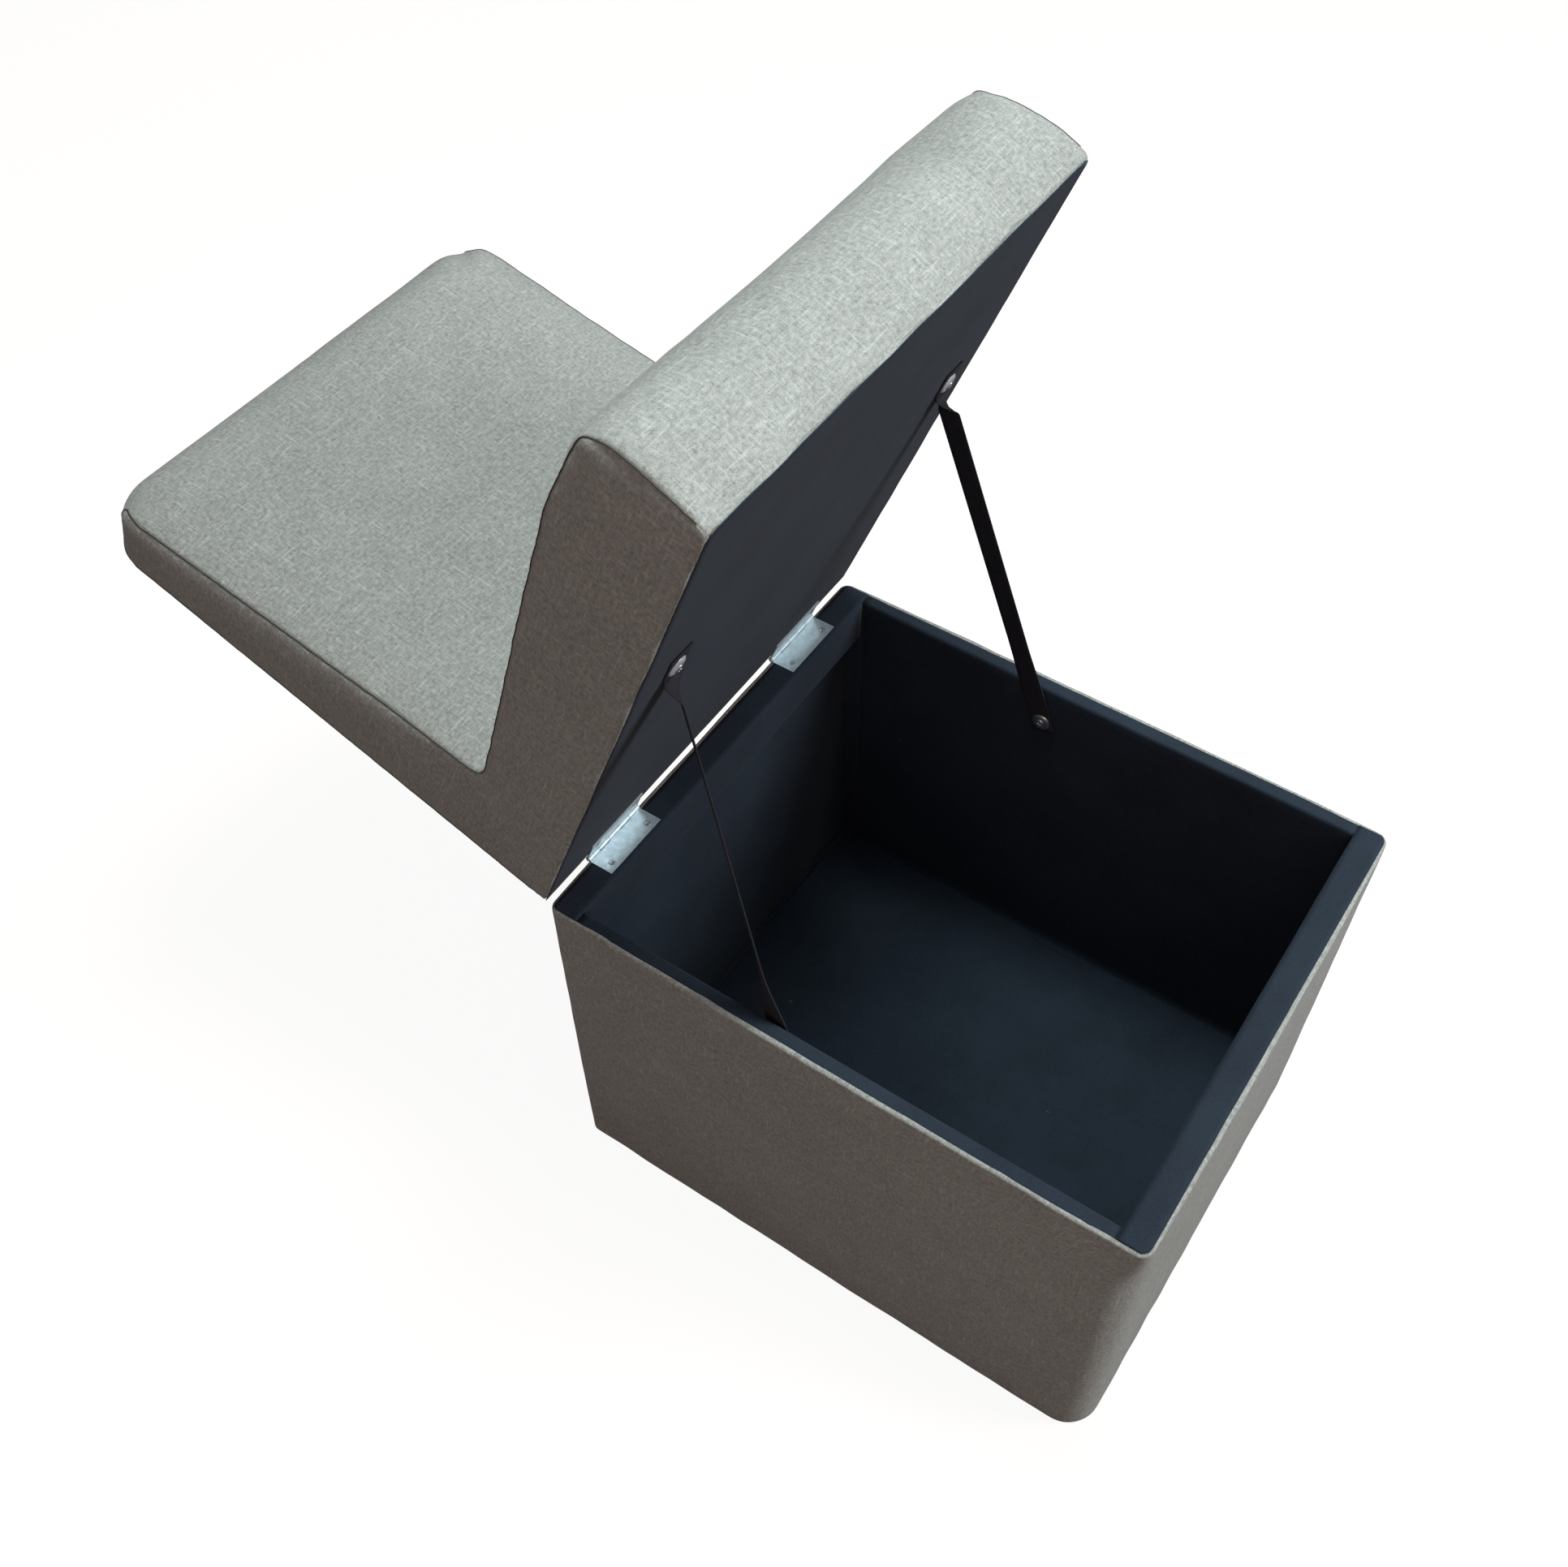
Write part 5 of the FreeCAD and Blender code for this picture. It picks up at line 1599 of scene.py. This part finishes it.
def makePlacer():
    # geometry nodes: one form on each point, its top turned to the point's facing
    tree = bpy.data.node_groups.new("placeFasteners", "GeometryNodeTree")
    sockets = {}
    for label, kind in (("Points", "Geometry"), ("Form", "Object"), ("Turn range", "Float"),
                        ("Seed", "Int"), ("Finish", "Material")):
        made = tree.interface.new_socket(name=label, in_out="INPUT",
                                         socket_type="NodeSocket" + kind)
        sockets[label] = made.identifier
    tree.interface.new_socket(name="Result", in_out="OUTPUT", socket_type="NodeSocketGeometry")
    given = tree.nodes.new("NodeGroupInput").outputs
    result = tree.nodes.new("NodeGroupOutput").inputs
    form = addNode(tree, "GeometryNodeObjectInfo", {"Object": given["Form"]})
    form.inputs["As Instance"].default_value = True
    facing = addNode(tree, "GeometryNodeInputNamedAttribute", {"Name": "facing"},
                     data_type="FLOAT_VECTOR")
    turn = addNode(tree, "FunctionNodeAlignRotationToVector", {"Vector": facing.outputs[0]},
                   axis="Z")
    chance = addNode(tree, "FunctionNodeRandomValue", {"Seed": given["Seed"]}, data_type="FLOAT")
    tree.links.new(given["Turn range"], chance.inputs[3])
    spin = addNode(tree, "ShaderNodeCombineXYZ", {2: chance.outputs[1]})
    spinTurn = addNode(tree, "FunctionNodeEulerToRotation", {0: spin.outputs[0]})
    whole = addNode(tree, "FunctionNodeRotateRotation",
                    {0: turn.outputs[0], 1: spinTurn.outputs[0]}, rotation_space="LOCAL")
    place = addNode(tree, "GeometryNodeInstanceOnPoints", {
        "Points": given["Points"], "Instance": form.outputs["Geometry"],
        "Rotation": whole.outputs[0]})
    real = addNode(tree, "GeometryNodeRealizeInstances", {0: place.outputs[0]})
    paint = addNode(tree, "GeometryNodeSetMaterial", {"Geometry": real.outputs[0],
                                                      "Material": given["Finish"]})
    tree.links.new(paint.outputs[0], result[0])
    return tree, sockets


placer, placerSockets = makePlacer()


def placeForms(name, form, spots, finish, turnRange=3.0, seed=5):
    # spots: (point, facing)
    mesh = bpy.data.meshes.new(name)
    mesh.from_pydata([tuple(point) for point, _ in spots], [], [])
    facing = mesh.attributes.new("facing", "FLOAT_VECTOR", "POINT")
    for index, (_, way) in enumerate(spots):
        facing.data[index].vector = way
    piece = addObject(name, mesh)
    modifier = piece.modifiers.new("place", "NODES")
    modifier.node_group = placer
    for label, value in (("Form", form), ("Turn range", turnRange), ("Seed", seed),
                         ("Finish", finishes[finish])):
        modifier[placerSockets[label]] = value
    piece.update_tag()
    bpy.context.view_layer.update()
    settle(piece)
    piece.data.shade_smooth()
    return piece


def solidPoints(node):
    # the points of each separate solid in a node, solids in the order of their first point
    form = bmesh.new()
    form.from_mesh(frame["nodes"][node].data)
    bmesh.ops.remove_doubles(form, verts=form.verts, dist=1e-6)
    seen, found = set(), []
    for first in form.verts:
        if first in seen:
            continue
        seen.add(first)
        stack, group = [first], []
        while stack:
            vertex = stack.pop()
            group.append(vertex.co.copy())
            for edge in vertex.link_edges:
                other = edge.other_vert(vertex)
                if other not in seen:
                    seen.add(other)
                    stack.append(other)
        found.append(group)
    form.free()
    return found


def outermost(group, way):
    # the middle of a solid's far end, looking the given way
    reach = max(point.dot(way) for point in group)
    low = Vector([min(axis) for axis in zip(*group)])
    high = Vector([max(axis) for axis in zip(*group)])
    centre = (low + high) / 2
    return centre + way * (reach - centre.dot(way))


fasteners = {
    "hingeScrew": (2.75 * mm, 0.45 * mm, 0.9 * mm),   # radius, height, recess
    "anchorScrew": (4.0 * mm, 1.9 * mm, 1.3 * mm),
    "cup": (8.5 * mm, 1.9 * mm, 2.3 * mm),            # radius, height, hole
    "anchorSink": -1.9 * mm,
    "cupSink": -1.75 * mm,
}


def inward(group):
    return Vector((-math.copysign(1, group[0].x), 0, 0))


def upward(group):
    return Vector((0, 0, 1))


def lidDown(group):
    return (lidToWorld.to_3x3() @ Vector((0, 0, -1))).normalized()


def makeFasteners():
    hingeHead = makeHead("hingeScrewHead", *fasteners["hingeScrew"])
    anchorHead = makeHead("anchorScrewHead", *fasteners["anchorScrew"])
    cup = makeCup("cupWasherForm", *fasteners["cup"])
    anchorSink, cupSink = fasteners["anchorSink"], fasteners["cupSink"]
    jobs = (
        ("hinge_box_screw_heads", hingeHead, "hinge_box_screws", "box", "screw", "screw_steel",
         upward, 0.0),
        ("hinge_lid_screw_heads", hingeHead, "hinge_lid_screws", "lid", "screw", "screw_steel",
         lidDown, 0.0),
        ("strap_wall_screw_heads", anchorHead, "strap_wall_screws", "box", "screw", "screw_steel",
         inward, anchorSink),
        ("strap_lid_screw_heads", anchorHead, "strap_lid_screws", "lid", "screw", "screw_steel",
         lidDown, anchorSink),
        # the wall cups take the screw steel and the lid cups the washer finish, whose bright colour
        # is a painted reflection
        ("strap_wall_cups", cup, "strap_wall_washers", "box", "screw", "washer_nickel",
         inward, cupSink),
        ("strap_lid_cups", cup, "strap_lid_washers", "lid", "washer", "washer_nickel",
         lidDown, cupSink),
    )
    for name, form, node, body, finish, slotName, facing, sink in jobs:
        ways = [(group, facing(group)) for group in solidPoints(node)]
        spots = [(outermost(group, way) + way * sink, way) for group, way in ways]
        dress(placeForms(name, form, spots, finish), body, slotName, node)
    for form in (hingeHead, anchorHead, cup):
        bpy.data.objects.remove(form)


makeFasteners()
print("fasteners placed")


# staples along the cloth under the box

staples = {"pitch": 42 * mm, "inset": 9 * mm, "width": 10 * mm, "wire": 0.55 * mm,
           "bend": 0.4 * mm, "lift": 0.45 * mm}


def makeStapleForm():
    half, bend = staples["width"] / 2, staples["bend"]
    side = [(half, -1.2 * mm), (half, -0.1 * mm), (half - bend, 0.2 * mm)]
    path = [Vector((-x, 0, z)) for x, z in side] + [Vector((x, 0, z)) for x, z in reversed(side)]
    return makeTube("stapleForm", path, staples["wire"] / 2, "screw")


def makeStaples():
    low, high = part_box("bottom_dust_cloth")
    inset, pitch = staples["inset"], staples["pitch"]
    spots = [(x, y) for x in spread(low.x + inset * 2, high.x - inset * 2, pitch)
             for y in (low.y + inset, high.y - inset)]
    spots += [(x, y) for y in spread(low.y + inset * 3, high.y - inset * 3, pitch)
              for x in (low.x + inset, high.x - inset)]
    down = Vector((0, 0, -1))
    height = low.z + staples["lift"]
    spots = [(Vector((x, y, height)), down) for x, y in spots]
    form = makeStapleForm()
    piece = placeForms("underside_staples", form, spots, "screw", turnRange=0.5, seed=9)
    dress(piece, "box", "screw_steel")
    bpy.data.objects.remove(form)


makeStaples()


# CAD nodes that stay get their finishes

kept = {
    "plywood": ["bottom_panel", "left_wall", "right_wall", "front_wall", "rear_wall",
                "seat_base_panel"],
    "pine": ["front_top_rail", "rear_top_rail", "left_front_post", "right_front_post",
             "left_back_stile", "right_back_stile", "back_top_rail", "back_bottom_rail"],
    "hardboard": ["back_front_hardboard", "back_rear_hardboard"],
    "hinge": ["left_hinge_lower_leaf", "right_hinge_lower_leaf", "left_hinge_upper_leaf",
              "right_hinge_upper_leaf", "left_hinge_pin", "right_hinge_pin"],
    "screw": ["box_panel_screws", "back_frame_screws"],
}
for finish, names in kept.items():
    for name in names:
        node = frame["nodes"][name]
        if node.material_slots:
            for place in node.material_slots:
                place.material = finishes[finish]
        else:
            node.data.materials.append(finishes[finish])
print("kept nodes finished")
